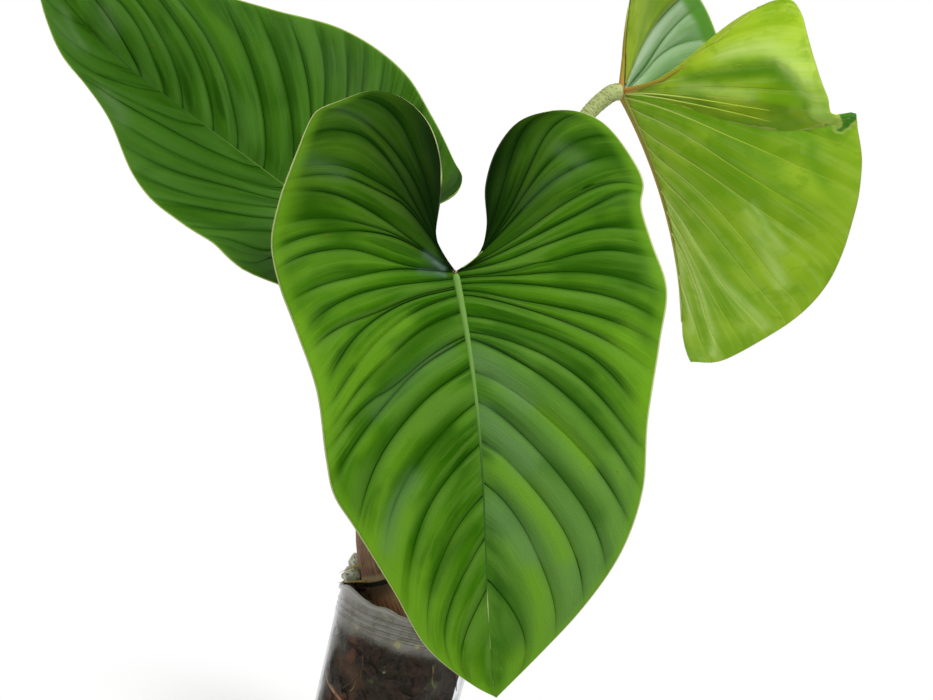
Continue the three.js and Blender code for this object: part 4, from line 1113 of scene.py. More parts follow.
def blade_matrix(leaf):
    """The blade's axes, as columns: to its right, along its midrib and up from its upper face."""
    azimuth, elevation, roll = (math.radians(leaf[key]) for key in ("azimuth", "elevation", "roll"))
    heading = np.array([math.sin(azimuth), -math.cos(azimuth), 0])
    midrib = heading * math.cos(elevation) + (0, 0, math.sin(elevation))
    level = -heading * math.sin(elevation) + (0, 0, math.cos(elevation))
    up = level * math.cos(roll) + np.cross(midrib, level) * math.sin(roll)
    return np.stack([np.cross(midrib, up), midrib, up], 1)


def vein_lines(veins, v):
    """The share t of each vein at each v, from the notch, the first line, to the tip, the last."""
    lines = [np.zeros_like(v)]
    for vein in veins:
        line = np.mean([np.interp(v + step, VEIN_STATIONS, vein) for step in VEIN_SOFTENING], axis=0)
        lines.append(np.maximum(line, lines[-1] + VEIN_CLEARANCE))
    return np.array([*lines, np.ones_like(v)])


class Sheet:
    """One half of a blade as rows that follow the veins, with what the materials need at each vertex."""

    def __init__(self, leaf, key, side, place):
        self.shape = HalfBlade(leaf, leaf[key], side)
        self.side = side
        self.place = place
        self.pleat = leaf["pleat"]
        self.flap = leaf[key].get("flap", False)
        self.touches = TOUCHES.get(f"{leaf['name']}_{key}", [])
        columns = (np.arange(COLUMNS + 1) / COLUMNS) ** COLUMN_POWER
        lines = vein_lines(VEINS[f"{leaf['name']}_{key}"], columns)
        self.phases = []
        self.vein_rows = []
        for band in range(len(lines) - 1):
            self.vein_rows.append(len(self.phases))
            narrow = np.mean(lines[band + 1] - lines[band]) < NARROW_BAND
            self.phases += [band + step for step in (NARROW_STEPS if narrow else ROW_STEPS)]
        self.phases = np.array(self.phases)
        self.phase, self.v = np.meshgrid(self.phases, columns, indexing="ij")
        self.t = np.stack([np.interp(self.phases, np.arange(len(lines)), line) for line in lines.T], 1)
        self.flat = self.shape.vein(self.t, self.v)
        self.spacing = self.measure_spacing()
        self.middle = place(self.shape.bend(self.flat, self.relief(), self.v))
        normal = np.cross(np.gradient(self.middle, axis=1), np.gradient(self.middle, axis=0))
        self.normal = unit(normal) * side
        self.tip = place(self.shape.bend(np.array([[0, self.shape.tip]]), np.zeros(1), np.ones(1)))
        self.first_midrib = int(np.argmax(self.t[:, 0] >= BASAL_SHARE))

    def measure_spacing(self):
        """How far apart the veins are at each vertex, square to them."""
        along = unit(np.gradient(self.flat, axis=1))
        across = np.gradient(self.flat, self.phases, axis=0)
        return np.abs(across[..., 0] * along[..., 1] - across[..., 1] * along[..., 0])

    def relief(self):
        """Pillows between sunken veins, flat at the margin and the tip, with the margin's wave and folds."""
        t, v = self.t, self.v
        pillow = np.abs(np.sin(np.pi * self.phase)) ** 0.85
        height = np.minimum(PLEAT_SHARE * self.spacing, PLEAT_MOST) * self.pleat
        height = height * mix(0.6, 1, smooth((t - 0.2) / 0.2))
        if self.flap:
            height = height * mix(0.15, 1, smooth((t - 0.32) / 0.12))
        opening = mix(smooth(v / 0.5), smooth(v / 0.12), smooth((t - BASAL_SHARE + 0.1) / 0.12))
        calm = (1 - v**6) * (1 - 0.4 * v**2) * mix(1, 0.6, smooth((t - 0.6) / 0.3)) * smooth((1 - t) / 0.1)
        lift = height * (pillow - 0.5) * opening * calm + self.shape.wave(t, v)
        for centre, width, fold, first in self.shape.half.get("folds", []):
            ridge = np.exp(-np.sqrt(((t - centre) / width) ** 2 + 0.05))
            lift = lift + fold * ridge * smooth((v - first) / 0.4) * (1 - 0.6 * smooth((v - 0.75) / 0.25))
        return lift + self.flap_lift() if self.flap else lift

    def flap_lift(self):
        """How far the flap beside its crease stands out of the blade, with the corner turned beside it."""
        crease_v, crease_t = evenly(FLAP_CREASE, 60)
        away = self.away_from(crease_t, crease_v) * np.sign(self.past_crease())
        near = np.exp(-(np.abs(away) / np.where(away < 0, *FLAP_REACH)) ** 1.5)
        side = mix(1, -0.3, smooth(away / 7 + 0.5))
        strength = smooth((self.v - 0.25) / 0.5) * mix(1, 0.5, smooth((self.t - 0.2) / 0.08))
        return FLAP_LIFT * side * near * strength - 0.4 * FLAP_LIFT * self.turned_corner(0.008)

    def past_crease(self):
        """How far each vertex is past the flap's crease, as a share t: below nought on the flap."""
        return self.t - np.interp(self.v, *np.array(FLAP_CREASE).T)

    def turned_corner(self, softness, spread=0.0):
        """Where the margin beside the flap is turned so that its upper face shows."""
        if not self.flap:
            return np.zeros_like(self.t)
        corner = np.interp(self.v, *np.array(FLAP_CORNER).T) - self.t
        inside = np.minimum(self.past_crease(), corner)
        return smooth(inside / softness + spread) * smooth((self.v - 0.9) / 0.02)

    def away_from(self, t, v):
        """How far each vertex is, on the flat blade, from a line of shares t and v."""
        line = self.shape.vein(t, v)
        return np.linalg.norm(self.flat[..., None, :] - line, axis=-1).min(axis=-1)

    def touched(self, kind):
        """How strongly the touches of one kind colour each vertex."""
        total = np.zeros_like(self.t)
        for name, width, strength, path in self.touches:
            if name == kind:
                away = self.away_from(*evenly(path, 40))
                total = np.maximum(total, strength * np.exp(-(away / width) ** 2))
        return total

    def gloom(self):
        """How much painted shade darkens the blade: most by the notch and the joint, less outwards on the
        lobe.
        """
        edge = (1 - smooth(self.t / 0.12)) * mix(1, 0.75, smooth((self.v - 0.5) / 0.5))
        near, far = self.shape.half.get("gloom", (0.94, 0.3))
        lobe = (1 - smooth((self.t - 0.02) / 0.36)) * mix(near, far, smooth((self.v - 0.2) / 0.7))
        joint = (1 - smooth((self.t - 0.25) / 0.2)) * (1 - smooth((self.v - 0.03) / 0.25))
        return np.maximum(np.maximum(lobe, edge), joint)

    def facts(self):
        reach = np.linalg.norm(self.flat[:, -1:] - self.flat[:, :1], axis=-1)
        from_notch = np.linalg.norm(self.flat - self.flat[:1], axis=-1)
        return {
            "phase": self.phase, "along": self.v, "share": self.t, "spacing": self.spacing,
            "rim": np.minimum((1 - self.v) * reach, np.where(self.t < 0.15, from_notch, 99.0)),
            "midrib": self.v * reach, "gloom": self.gloom(), "turned": self.turned_corner(0.014, 0.62),
            "flat_x": self.flat[..., 0], "flat_y": self.flat[..., 1],
            "reach": np.linalg.norm(self.flat, axis=-1),
            **{kind: self.touched(kind) for kind in TOUCH_KINDS},
        }

    def shell(self):
        """A closed shell: points, faces, the kind of each face (0 upper, 1 under, 2 margin) and facts."""
        rows, columns = self.t.shape
        block = rows * columns
        edge = np.maximum(smooth((self.v - 0.93) / 0.07), smooth(1 - self.phase / 0.3))
        half = self.normal * mix(BLADE_THICKNESS, MARGIN_THICKNESS, edge)[..., None] / 2
        tips = [self.tip + self.normal[-1, 0] * 0.1, self.tip - self.normal[-1, 0] * 0.1]
        points = np.vstack([(self.middle + half).reshape(-1, 3), (self.middle - half).reshape(-1, 3), *tips])
        facts = {key: np.concatenate([values.ravel(), values.ravel(), [values[-1, 0]] * 2])
                 for key, values in self.facts().items()}
        upper = grid_faces(rows, columns).tolist()
        lower = [[corner + block for corner in face[::-1]] for face in upper]
        last = block - columns
        for column in range(last, block - 1):
            upper.append([column, column + 1, 2 * block])
            lower.append([block + column + 1, block + column, 2 * block + 1])
        margin = [*range(columns - 1, block, columns)]
        spine = [*range(0, block, columns)]
        path = margin[::-1] + [*range(columns - 2, -1, -1)] + spine[1:]
        walls = [[a, a + block, b + block, b] for a, b in zip(path, path[1:])]
        walls.append([2 * block, 2 * block + 1, margin[-1] + block, margin[-1]])
        walls.append([spine[-1], spine[-1] + block, 2 * block + 1, 2 * block])
        kinds = [0] * len(upper) + [1] * len(lower) + [2] * len(walls)

        # All faces look outwards
        faces = upper + lower
        if self.side > 0:
            walls = [wall[::-1] for wall in walls]
        else:
            faces = [face[::-1] for face in faces]
        return points, faces + walls, kinds, facts

    def curl(self):
        """The strip beside the notch, curled over the upper face, as one more closed shell."""
        rows, columns = 24, 50
        s, v = np.meshgrid(np.linspace(0, 1, rows), np.linspace(0.04, 0.98, columns), indexing="ij")
        t = CURL_SHARE * s
        flat = self.shape.vein(t, v)
        lift = CURL_LIFT * np.sin(np.pi * 0.92 * s) ** 0.6 * smooth(v / 0.3 + 0.1)
        middle = self.place(self.shape.bend(flat, self.shape.wave(t, v) + 0.5 + lift, v))
        normal = unit(np.cross(np.gradient(middle, axis=1), np.gradient(middle, axis=0))) * self.side
        half = normal * mix(0.3, 0.12, smooth((s - 0.8) / 0.2))[..., None]
        points = np.vstack([(middle + half).reshape(-1, 3), (middle - half).reshape(-1, 3)])
        facts = dict.fromkeys(("gloom", "turned", *TOUCH_KINDS), 0 * s)
        facts |= {
            "phase": 9 * s, "along": v, "share": 0.2 + 0 * s, "spacing": 5 + 0 * s, "rim": 30 * (1 - s),
            "midrib": 2 + 60 * v, "flat_x": flat[..., 0], "flat_y": flat[..., 1],
            "reach": np.linalg.norm(flat, axis=-1),
        }
        facts = {key: np.tile(values.ravel(), 2) for key, values in facts.items()}
        faces = closed_grid(rows, columns)
        skin = 2 * (rows - 1) * (columns - 1)
        return points, faces, [1] * skin + [2] * (len(faces) - skin), facts

    def notch_path(self, notch_reach, drop):
        """Points just under the blade, along the bare rib and then some way along the notch's edge."""
        straight = self.shape.spine(np.linspace(BASAL_SHARE * (1 - HOLE_SHARE), 0, 16))
        edge = self.shape.curve.at(np.linspace(0, notch_reach, 22)[1:] * self.shape.lobe_share)
        flat = np.vstack([straight, edge])
        share = np.linspace(0, 1, len(flat))
        return self.place(self.shape.bend(flat, -drop * (1 - 0.7 * share), 0 * share)), share

    def vein_rib(self, row):
        """Path, share and radii of the rib under one vein, which sinks into the blade in the flap's fold."""
        share = self.v[0, ::2]
        radii = mix(*VEIN_RIB_RADII, share**0.5) * mix(0.1, 1, smooth(self.t[row, 0] / 0.4))
        folded = self.flap and FOLD_VEINS[0] < self.t[row, 0] < FOLD_VEINS[1]
        sunk = float(folded) * smooth((share - 0.25) / 0.2)
        radii = mix(radii, 0.1, sunk)
        depth = (0.4 + 0.4 * radii) * (1 - sunk)
        return self.middle[row, ::2] - self.normal[row, ::2] * depth[:, None], share, radii


class Blade:
    """A leaf's blade: two sheets that meet under the midrib."""

    def __init__(self, leaf):
        matrix, joint = blade_matrix(leaf), np.array(leaf["joint"], float)

        def place(points):
            return points @ matrix.T + joint

        self.leaf = leaf
        self.sheets = [Sheet(leaf, "left", 1, place), Sheet(leaf, "right", -1, place)]

    def piece(self, name, materials):
        shells = [sheet.shell() for sheet in self.sheets]
        if self.leaf.get("curled"):
            shells.append(self.sheets[1].curl())
        pile, all_kinds = Pile(), []
        for points, faces, kinds, facts in shells:
            pile.add(points, faces, **facts)
            all_kinds += kinds
        return pile.make(f"blade_{name}", f"leaf_{name}", materials, all_kinds)

    def ribs(self, name, material):
        """The ribs along the veins and beside the notch, under the blade, and the midrib on both faces."""
        self.pile = Pile()
        notch_reach, notch_drop, notch_girth = self.leaf["notch"]
        for sheet in self.sheets:
            for row in sheet.vein_rows[1:]:
                path, share, radii = sheet.vein_rib(row)
                near = 0.25 + 0.75 * smooth(np.linalg.norm(sheet.flat[row, ::2], axis=-1) / 25)
                self.rib(path, radii, 6, near, outwards=share, notch=smooth((0.15 - sheet.t[row, 0]) / 0.1))
            path, share = sheet.notch_path(notch_reach, notch_drop)
            self.rib(path, mix(*NOTCH_RIB_RADII, share**0.8) * notch_girth, 10, share, brown=1.0, notch=1.0)
        self.midrib()
        return self.pile.make(f"blade_{name}_ribs", f"leaf_{name}", [material])

    def midrib(self):
        """The midrib's lower and upper sides, a tube each, in the plane between the two sheets."""
        sheet, other = self.sheets
        rows = slice(sheet.first_midrib, -2, 3)
        share = (sheet.t[rows, 0] - BASAL_SHARE) / (1 - BASAL_SHARE)
        axes = other.normal[:, 0].T
        beside = np.stack([np.interp(sheet.t[rows, 0], other.t[:, 0], axis) for axis in axes], -1)
        normal = unit(sheet.normal[rows, 0] + beside)
        normal = normal / np.sum(normal * sheet.normal[rows, 0], axis=1)[:, None]
        under = mix(*MIDRIB_UNDER_RADII, share)
        over = mix(*MIDRIB_UPPER_RADII, smooth((share - 0.1) / 0.8)) * mix(0.55, 1, smooth(share / 0.12))
        over = over * self.leaf["midrib_width"] * mix(1, 0.5, smooth((share - 0.85) / 0.15))
        for widths, lift, upper in ((under, -0.4 - 0.7 * under, 0.0), (over, 0.4 - 0.55 * over, 1.0)):
            path = sheet.middle[rows, 0] + normal * lift[:, None]
            self.rib(path, widths, 12, share, upper=upper, brown=1.0)

    def rib(self, path, radii, sides, reach, outwards=None, upper=0.0, brown=0.0, notch=0.0):
        """Adds one tube with what the ribs' material reads; reach and outwards hold one value a ring."""
        vertices, faces = tube(path, radii, sides)
        reach = np.append(np.repeat(reach, sides), [0, 1])
        outwards = 0.0 if outwards is None else np.append(np.repeat(outwards, sides), [0, 1])
        self.pile.add(vertices, faces, reach=reach, outwards=outwards, upper=upper, brown=brown, notch=notch)


def make_leaf(name):
    leaf, look = {**LEAVES[name], "name": name}, LOOKS[name]
    blade = Blade(leaf)
    materials = [
        leaf_upper_material(f"leaf_{name}_upper", look),
        leaf_under_material(f"leaf_{name}_under", look),
        leaf_margin_material(f"leaf_{name}_margin", look),
    ]
    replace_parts(blade.piece(name, materials), f"leaf_{name}")
    blade.ribs(name, rib_material(f"ribs_{name}", look))


# Stem and leaf stalks


STEM_PATH = Curve(STEM_POINTS)


def stem_frame(share):
    """The stem's centre, direction and two arms square to it, at a share that may pass its end."""
    inside = np.clip(share, 0, 1)
    along = STEM_PATH.direction(inside)
    centre = STEM_PATH.at(inside) + along * ((share - inside) * STEM_PATH.length)[..., None]
    away = np.broadcast_to((0.0, 1.0, 0.0), along.shape)
    return centre, along, unit(np.cross(away, along)), away


def make_stem():
    share = np.linspace(0, 1, 90)
    swell = np.clip(np.cos(2 * np.pi * STEM_NODES * share), 0, 1) ** 3 * STEM_NODE_SWELL
    radii = mix(STEM_FOOT_RADIUS, STEM_RADIUS, smooth(share * 2)) + swell
    vertices, faces = tube(STEM_PATH.at(share), radii, 48)
    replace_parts(mesh_object("stem_core", vertices, faces, [stem_material()]), "stem")


def warts(s, turn, girth, seed):
    """Warts on a stalk: low mounds, wider across than along, scattered closely by a jittered grid."""
    rows = int(s.max() / WART_PITCH) + 4
    jitter = np.random.default_rng(seed).random((rows, WARTS_AROUND, 4))
    height = np.zeros_like(s)
    row = np.floor(s / WART_PITCH).astype(int)
    column = np.floor(turn / (2 * np.pi) * WARTS_AROUND).astype(int)
    for row_step in (-1, 0, 1):
        for column_step in (-1, 0, 1):
            r, c = np.clip(row + row_step, 0, rows - 1), (column + column_step) % WARTS_AROUND
            along_jitter, around_jitter, size_jitter, height_jitter = np.moveaxis(jitter[r, c], -1, 0)
            centre_s = (row + row_step + 0.2 + 0.6 * along_jitter) * WART_PITCH
            stagger = 0.5 * ((row + row_step) % 2)
            centre_turn = (column + column_step + stagger + 0.1 + 0.6 * around_jitter) / WARTS_AROUND
            across = ((turn / (2 * np.pi) - centre_turn + 0.5) % 1.0 - 0.5) * girth
            size = 0.5 + 0.25 * size_jitter
            distance = np.hypot((s - centre_s) / size, across / (size * 1.7))
            height = np.maximum(height, (0.5 + 0.5 * height_jitter) * np.clip(1 - distance**2, 0, 1) ** 0.7)
    return height


def make_stalk(name, seed, material):
    """A warty stalk from the stem's top to the blade's joint, thicker and then rounded off at its end."""
    leaf = LEAVES[name]
    centre, along, across, away = stem_frame(np.array(1.0))
    turn = math.radians(STALK_TURNS[name])
    foot = centre + across * STALK_RING * math.cos(turn) + away * STALK_RING * math.sin(turn) + along * GAP
    joint = np.array(leaf["joint"], float) + blade_matrix(leaf) @ np.array(leaf.get("seat", (0, 0, 0)), float)
    path = Curve([foot, foot + along * STALK_HEEL, *leaf["stalk"], joint])
    shares = np.linspace(0, 1 - 1.2 / path.length, int(path.length / STALK_STEP))
    turns = np.linspace(0, 2 * np.pi, STALK_SIDES, endpoint=False)
    s, turns = np.meshgrid(shares * path.length, turns, indexing="ij")
    left = path.length - s
    radius = mix(STALK_BASE_RADIUS, STALK_TOP_RADIUS, s / path.length)
    radius = radius + 0.8 * smooth(1 - left / 45) - 1.6 * smooth(1 - left / 3)
    wart = warts(s, turns, 2 * np.pi * 3.8, seed) * smooth((s - 6) / 14) * smooth(left / 3)
    vertices, faces = tube(path.at(shares), radius + WART_HEIGHT * wart - 0.2, STALK_SIDES)
    facts = {"wart": np.append(wart.ravel(), [0, 0])}
    piece = mesh_object(f"stalk_{name}", vertices, faces, [material], attributes=facts)
    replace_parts(piece, f"petiole_{name}")


# Pot


def pot_radius(height):
    return mix(POT_BASE_RADIUS, POT_RIM_RADIUS, height / POT_HEIGHT)


def lathe(profile, segments, wobble):
    """Vertices and faces of a round body, from a profile of radius and height from axis to axis."""
    profile = np.array(profile, float)
    turns = np.linspace(0, 2 * np.pi, segments, endpoint=False)
    radius, height = (axis[1:-1, None] * np.ones(segments) for axis in profile.T)
    radius, height = wobble(radius, height, turns[None, :])
    ring = np.stack([radius * np.cos(turns), radius * np.sin(turns), height], -1).reshape(-1, 3)
    ends = [[0, 0, profile[0, 1]], [0, 0, profile[-1, 1]]]
    return np.vstack([ring, ends]), closed_rings(len(profile) - 2, segments)


def pot_lip_wave(radius, height, turns):
    """The cut lip waves a little, as on thin pressed plastic, and rises in two places."""
    share = smooth((height - 96) / 14)
    wave = 0.35 * np.sin(5 * turns + 0.6) + 0.25 * np.sin(11 * turns) - 0.2
    for place, width, rise in LIP_RISES:
        wave = wave + rise * np.exp(-((turns - math.radians(place)) / width) ** 2)
    return radius + 0.12 * share * np.sin(3 * turns + 1), height + share * wave


def make_pot():
    foot = [(0, 0), (POT_BASE_RADIUS - 6, 0), (POT_BASE_RADIUS - 2, 0), (POT_BASE_RADIUS - 0.7, 0.5)]
    wall = [(pot_radius(z), z) for z in (2, 3, 30, 60, 90)]
    for ring in range(RING_COUNT - 1, -1, -1):
        top = RING_TOP - ring * RING_PITCH
        for step, bulge in ((2.0, 0), (1.6, 0.25), (1.2, 0.9), (0.8, 0.9), (0.4, 0.25), (0, 0)):
            wall.append((pot_radius(top - step) + RING_DEPTH * bulge, top - step))
    wall += [(pot_radius(POT_HEIGHT - down), POT_HEIGHT - down) for down in (2.6, 2.2)]
    lip = [(0.2, 1.9), (0, 1.5), (0, 0.6), (0.3, 0.15), (0.9, 0), (1.6, 0.2)]
    lip = [(POT_LIP_RADIUS - inwards, POT_HEIGHT - down) for inwards, down in lip]
    inner = [(POT_RIM_RADIUS - POT_WALL, POT_HEIGHT - 0.8)]
    inner += [(pot_radius(z) - POT_WALL, z) for z in (105, 100, 90, 60, 30, POT_FLOOR + 2)]
    inner += [(POT_BASE_RADIUS - 2, POT_FLOOR + 0.5), (POT_BASE_RADIUS - 5, POT_FLOOR), (0, POT_FLOOR)]
    vertices, faces = lathe([*foot, *wall, *lip, *inner], POT_SEGMENTS, pot_lip_wave)
    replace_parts(mesh_object("clear_pot", vertices, faces, [pot_material()]), "pot")


# Potting mix


def mix_top(x, y):
    reach = np.hypot(x - MOUND_CENTRE[0], y - MOUND_CENTRE[1]) / MOUND_RADIUS
    ripple = 0.8 * np.sin(0.31 * x + 1) * np.cos(0.27 * y)
    return MIX_LEVEL + MOUND_HEIGHT * (1 - smooth(reach)) + ripple


def rough(points, scale, seed, octaves):
    """A cheap smooth noise in space, from sums of waves in random directions."""
    state = np.random.default_rng(seed)
    total, weight = 0, 1.0
    for octave in range(octaves):
        for _ in range(5):
            direction = state.normal(size=3) * scale * 2**octave
            total = total + weight * np.sin(points @ direction + state.random() * 2 * np.pi)
        weight *= 0.55
    return total / 5


def ball(subdivisions):
    work = bmesh.new()
    bmesh.ops.create_icosphere(work, subdivisions=subdivisions, radius=1)
    points = np.array([vertex.co for vertex in work.verts])
    faces = [[vertex.index for vertex in face.verts] for face in work.faces]
    work.free()
    return points, faces


def spun(points, angles):
    """Points turned about X, then Y, then Z."""
    for axis, angle in zip("XYZ", angles):
        points = points @ np.array(Matrix.Rotation(angle, 3, axis)).T
    return points


def inside_wall(points):
    """Presses what would reach through the pot's wall flat against it."""
    limit = pot_radius(np.minimum(points[:, 2], POT_HEIGHT)) - POT_WALL - 0.35
    limit = limit - SIDE_GAP * np.clip(points[:, 0] / 38, 0, 1) ** 3
    limit = np.where(points[:, 2] > POT_HEIGHT - 1, POT_LIP_RADIUS + 2, limit)
    reach = np.hypot(points[:, 0], points[:, 1])
    points[:, :2] *= np.minimum(1, limit / np.maximum(reach, 1e-6))[:, None]
    points[:, 2] = np.maximum(points[:, 2], POT_FLOOR + 0.3)
    return points


def clear_of_stem(x, y, z, margin):
    centres = STEM_PATH.at(np.linspace(0, 1, 12))
    near = centres[np.argmin(np.abs(centres[:, 2] - z))]
    return math.hypot(x - near[0], y - near[1]) > margin


def right_shade(x):
    """Painted shade on the mix: from 0 on the pot's left to 1 on its right, where the mix is darker."""
    return smooth((x + 22) / 16)


class Lumps(Pile):
    """Many lumps of bark or stone in one piece, each a ball squared off, dented and stretched."""

    def __init__(self, state):
        super().__init__()
        self.state = state
        self.ball, self.ball_faces = ball(3)

    def lump(self, size, boxy, coarse):
        dents = rough(self.ball, 1.6, int(self.state.integers(1 << 30)), 3)
        return np.sign(self.ball) * np.abs(self.ball) ** boxy * (1 + coarse * dents)[:, None] * np.array(size)

    def stone(self, radius, boxy, coarse):
        size = radius * (0.85 + 0.3 * self.state.random(3))
        return spun(self.lump(size, boxy, coarse), 6 * self.state.random(3))

    def settle(self, points, place, tone):
        self.add(inside_wall(points + place), self.ball_faces, tone=tone)


def make_mix_body():
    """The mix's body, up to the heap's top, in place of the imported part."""
    profile = [(0, POT_FLOOR + GAP), (POT_BASE_RADIUS - 7, POT_FLOOR + GAP)]
    profile += [(pot_radius(z) - POT_WALL - MIX_CLEAR, z) for z in np.linspace(4, MIX_LEVEL - 2, 40)]
    rim = pot_radius(MIX_LEVEL) - POT_WALL - MIX_CLEAR - 0.2
    profile += [(rim * share, MIX_LEVEL) for share in np.linspace(1, 0.04, 30)] + [(0, MIX_LEVEL)]

    def heap(radius, height, turns):
        top = mix_top(radius * np.cos(turns), radius * np.sin(turns))
        return radius, np.where(height > MIX_LEVEL - 0.5, top, height)

    points, faces = lathe(profile, 120, heap)
    outward = unit(points - np.array([0, 0, 50]))
    points = points + outward * (1.3 * rough(points, 0.35, 5, 4))[:, None]
    points[-1, 2] = mix_top(0, 0)
    colours = (0.012, 0.009, 0.007), (0.045, 0.03, 0.02), (0.11, 0.055, 0.03)
    material = fill_material("mix_fines", *colours, 420.0, 0.0015)
    points = inside_wall(points)
    # The mix's tone, lowered towards the right by painted shade
    facts = {"tone": 0.8 * (1 - 0.8 * right_shade(points[:, 0]))}
    body = mesh_object("mix_body", points, faces, [material], attributes=facts)
    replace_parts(body, "potting_mix")


def add_wall_chips(bark, state):
    """Chips against the pot's wall, darker on its right by painted shade."""
    for _ in range(WALL_CHIPS):
        turn, z = state.random() * 2 * np.pi, 4 + 93 * state.random()
        scale = 0.6 + 0.7 * state.random()
        size = np.array(WALL_CHIP_SIZE) * scale * (0.7 + 0.6 * state.random(3))
        points = bark.lump(size, *BARK_FORM)
        points = spun(points, (0.3 * state.normal(), 0.9 * state.normal(), turn + math.pi / 2))
        reach = pot_radius(z) - POT_WALL - 0.6 - 1.4 * state.random()
        x, y = reach * math.cos(turn), reach * math.sin(turn)
        bark.settle(points, (x, y, z), state.random() * (1 - 0.85 * float(right_shade(x))))


def add_top_chips(bark, state):
    """Chips on the heap, clear of the stem."""
    for _ in range(TOP_CHIPS):
        reach, turn = 36 * math.sqrt(state.random()), state.random() * 2 * np.pi
        x, y = reach * math.cos(turn), reach * math.sin(turn)
        z = float(mix_top(x, y)) + 0.8 * state.random()
        if not clear_of_stem(x, y, z, STEM_MARGIN):
            continue
        scale = 0.5 + 0.8 * state.random()
        size = np.array(TOP_CHIP_SIZE) * scale * (0.7 + 0.6 * state.random(3))
        points = bark.lump(size, *BARK_FORM)
        points = spun(points, (0.4 * state.normal(), 0.4 * state.normal(), 6 * state.random()))
        bark.settle(points, (x, y, z), state.random())


def add_grains(pumice, state):
    """Small grains of pumice at the back, by the wall or on the heap."""
    for _ in range(GRAINS):
        turn = state.random() * np.pi + 0.3
        by_wall = state.random() < 0.6
        draw = state.random()
        wall_height = 4 + 90 * draw
        reach = pot_radius(wall_height) - POT_WALL - 1.2 if by_wall else 34 * math.sqrt(draw)
        x, y = reach * math.cos(turn), reach * math.sin(turn)
        z = wall_height if by_wall else float(mix_top(x, y)) + 0.4
        if clear_of_stem(x, y, z, STEM_MARGIN):
            points = pumice.lump(0.9 + 1.2 * state.random(3), 0.7, 0.25)
            pumice.settle(spun(points, 6 * state.random(3)), (x, y, z), state.random())


def make_mix():
    state = np.random.default_rng(11)
    make_mix_body()
    bark, pumice = Lumps(state), Lumps(state)
    add_wall_chips(bark, state)
    add_top_chips(bark, state)
    for *place, radius in DARK_STONES:
        bark.settle(bark.stone(radius, 0.62, 0.25), place, 0.0)
    for *place, radius in STONES:
        pumice.settle(pumice.stone(radius, 0.9, 0.55), place, state.random())
    add_grains(pumice, state)
    colours = (0.014, 0.008, 0.006), (0.05, 0.026, 0.017), (0.13, 0.055, 0.03)
    bark.make("bark_chips", "potting_mix", [fill_material("bark", *colours, 380.0, 0.001)])
    pumice.make("pumice", "potting_mix", [pumice_material()])
    make_fibres(state)


def make_fibres(state):
    """Thin fibres on the heap and against the wall."""
    fibres = Pile()
    steps = np.linspace(0, 1, 9)
    for number in range(FIBRES):
        turn = state.random() * 2 * np.pi
        bend = state.normal(size=(2,)) * 0.6
        length = 7 + 12 * state.random()
        if number % 2:
            foot = 5 + 88 * state.random()
            slope = state.normal() * 0.9
            turns = turn + steps * length / 38 * math.cos(slope) + 0.02 * np.sin(6 * steps + bend[0])
            z = np.clip(foot + steps * length * math.sin(slope) + bend[1] * np.sin(3 * steps), 3, 97)
            reach = pot_radius(z) - POT_WALL - 0.75
            points = np.stack([reach * np.cos(turns), reach * np.sin(turns), z], -1)
        else:
            reach = 33 * math.sqrt(state.random())
            heading = state.random() * 2 * np.pi + bend[0] * steps
            x = reach * math.cos(turn) + steps * length * np.cos(heading)
            y = reach * math.sin(turn) + steps * length * np.sin(heading)
            points = np.stack([x, y, mix_top(x, y) + 1.6 + 1.2 * np.sin(3 * steps + bend[1])], -1)
            if (np.hypot(x, y) > 37).any() or not all(clear_of_stem(*point, 10) for point in points):
                continue
        girth = (0.22 + 0.25 * state.random()) * (1 - 0.5 * steps)
        fibres.add(*tube(points, girth, 5), tone=state.random())
    colours = (0.05, 0.028, 0.014), (0.13, 0.075, 0.035), (0.28, 0.2, 0.09)
    fibres.make("fibres", "potting_mix", [fill_material("fibre", *colours, 500.0, 0.0004)])


# Roots


def make_roots():
    material = root_material()
    share = np.linspace(0, 1, 40)
    for number, points in enumerate(SURFACE_ROOTS):
        radii = ROOT_RADIUS * (1 - ROOT_TAPER * share) * (1 + 0.12 * np.sin(19 * share + number))
        radii = radii * smooth(1.08 - share) ** 0.5
        vertices, faces = tube(Curve(points).at(share), radii, 12)
        facts = {"tone": np.full(len(vertices), 0.1)}
        piece = mesh_object(f"bare_root_{number + 1}", vertices, faces, [material], attributes=facts)
        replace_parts(piece, f"root_{number + 1}")
    pile = Pile()
    share = np.linspace(0, 1, 60)
    for points in WALL_ROOTS:
        radii = WALL_ROOT_RADIUS * (1 - ROOT_TAPER * share) * (1 + 0.08 * np.sin(23 * share))
        vertices, faces = tube(Curve(points).at(share), radii, 10)
        pile.add(inside_wall(vertices), faces, tone=0.85)
    pile.make("wall_roots", "potting_mix", [material])


# Dry sheaths


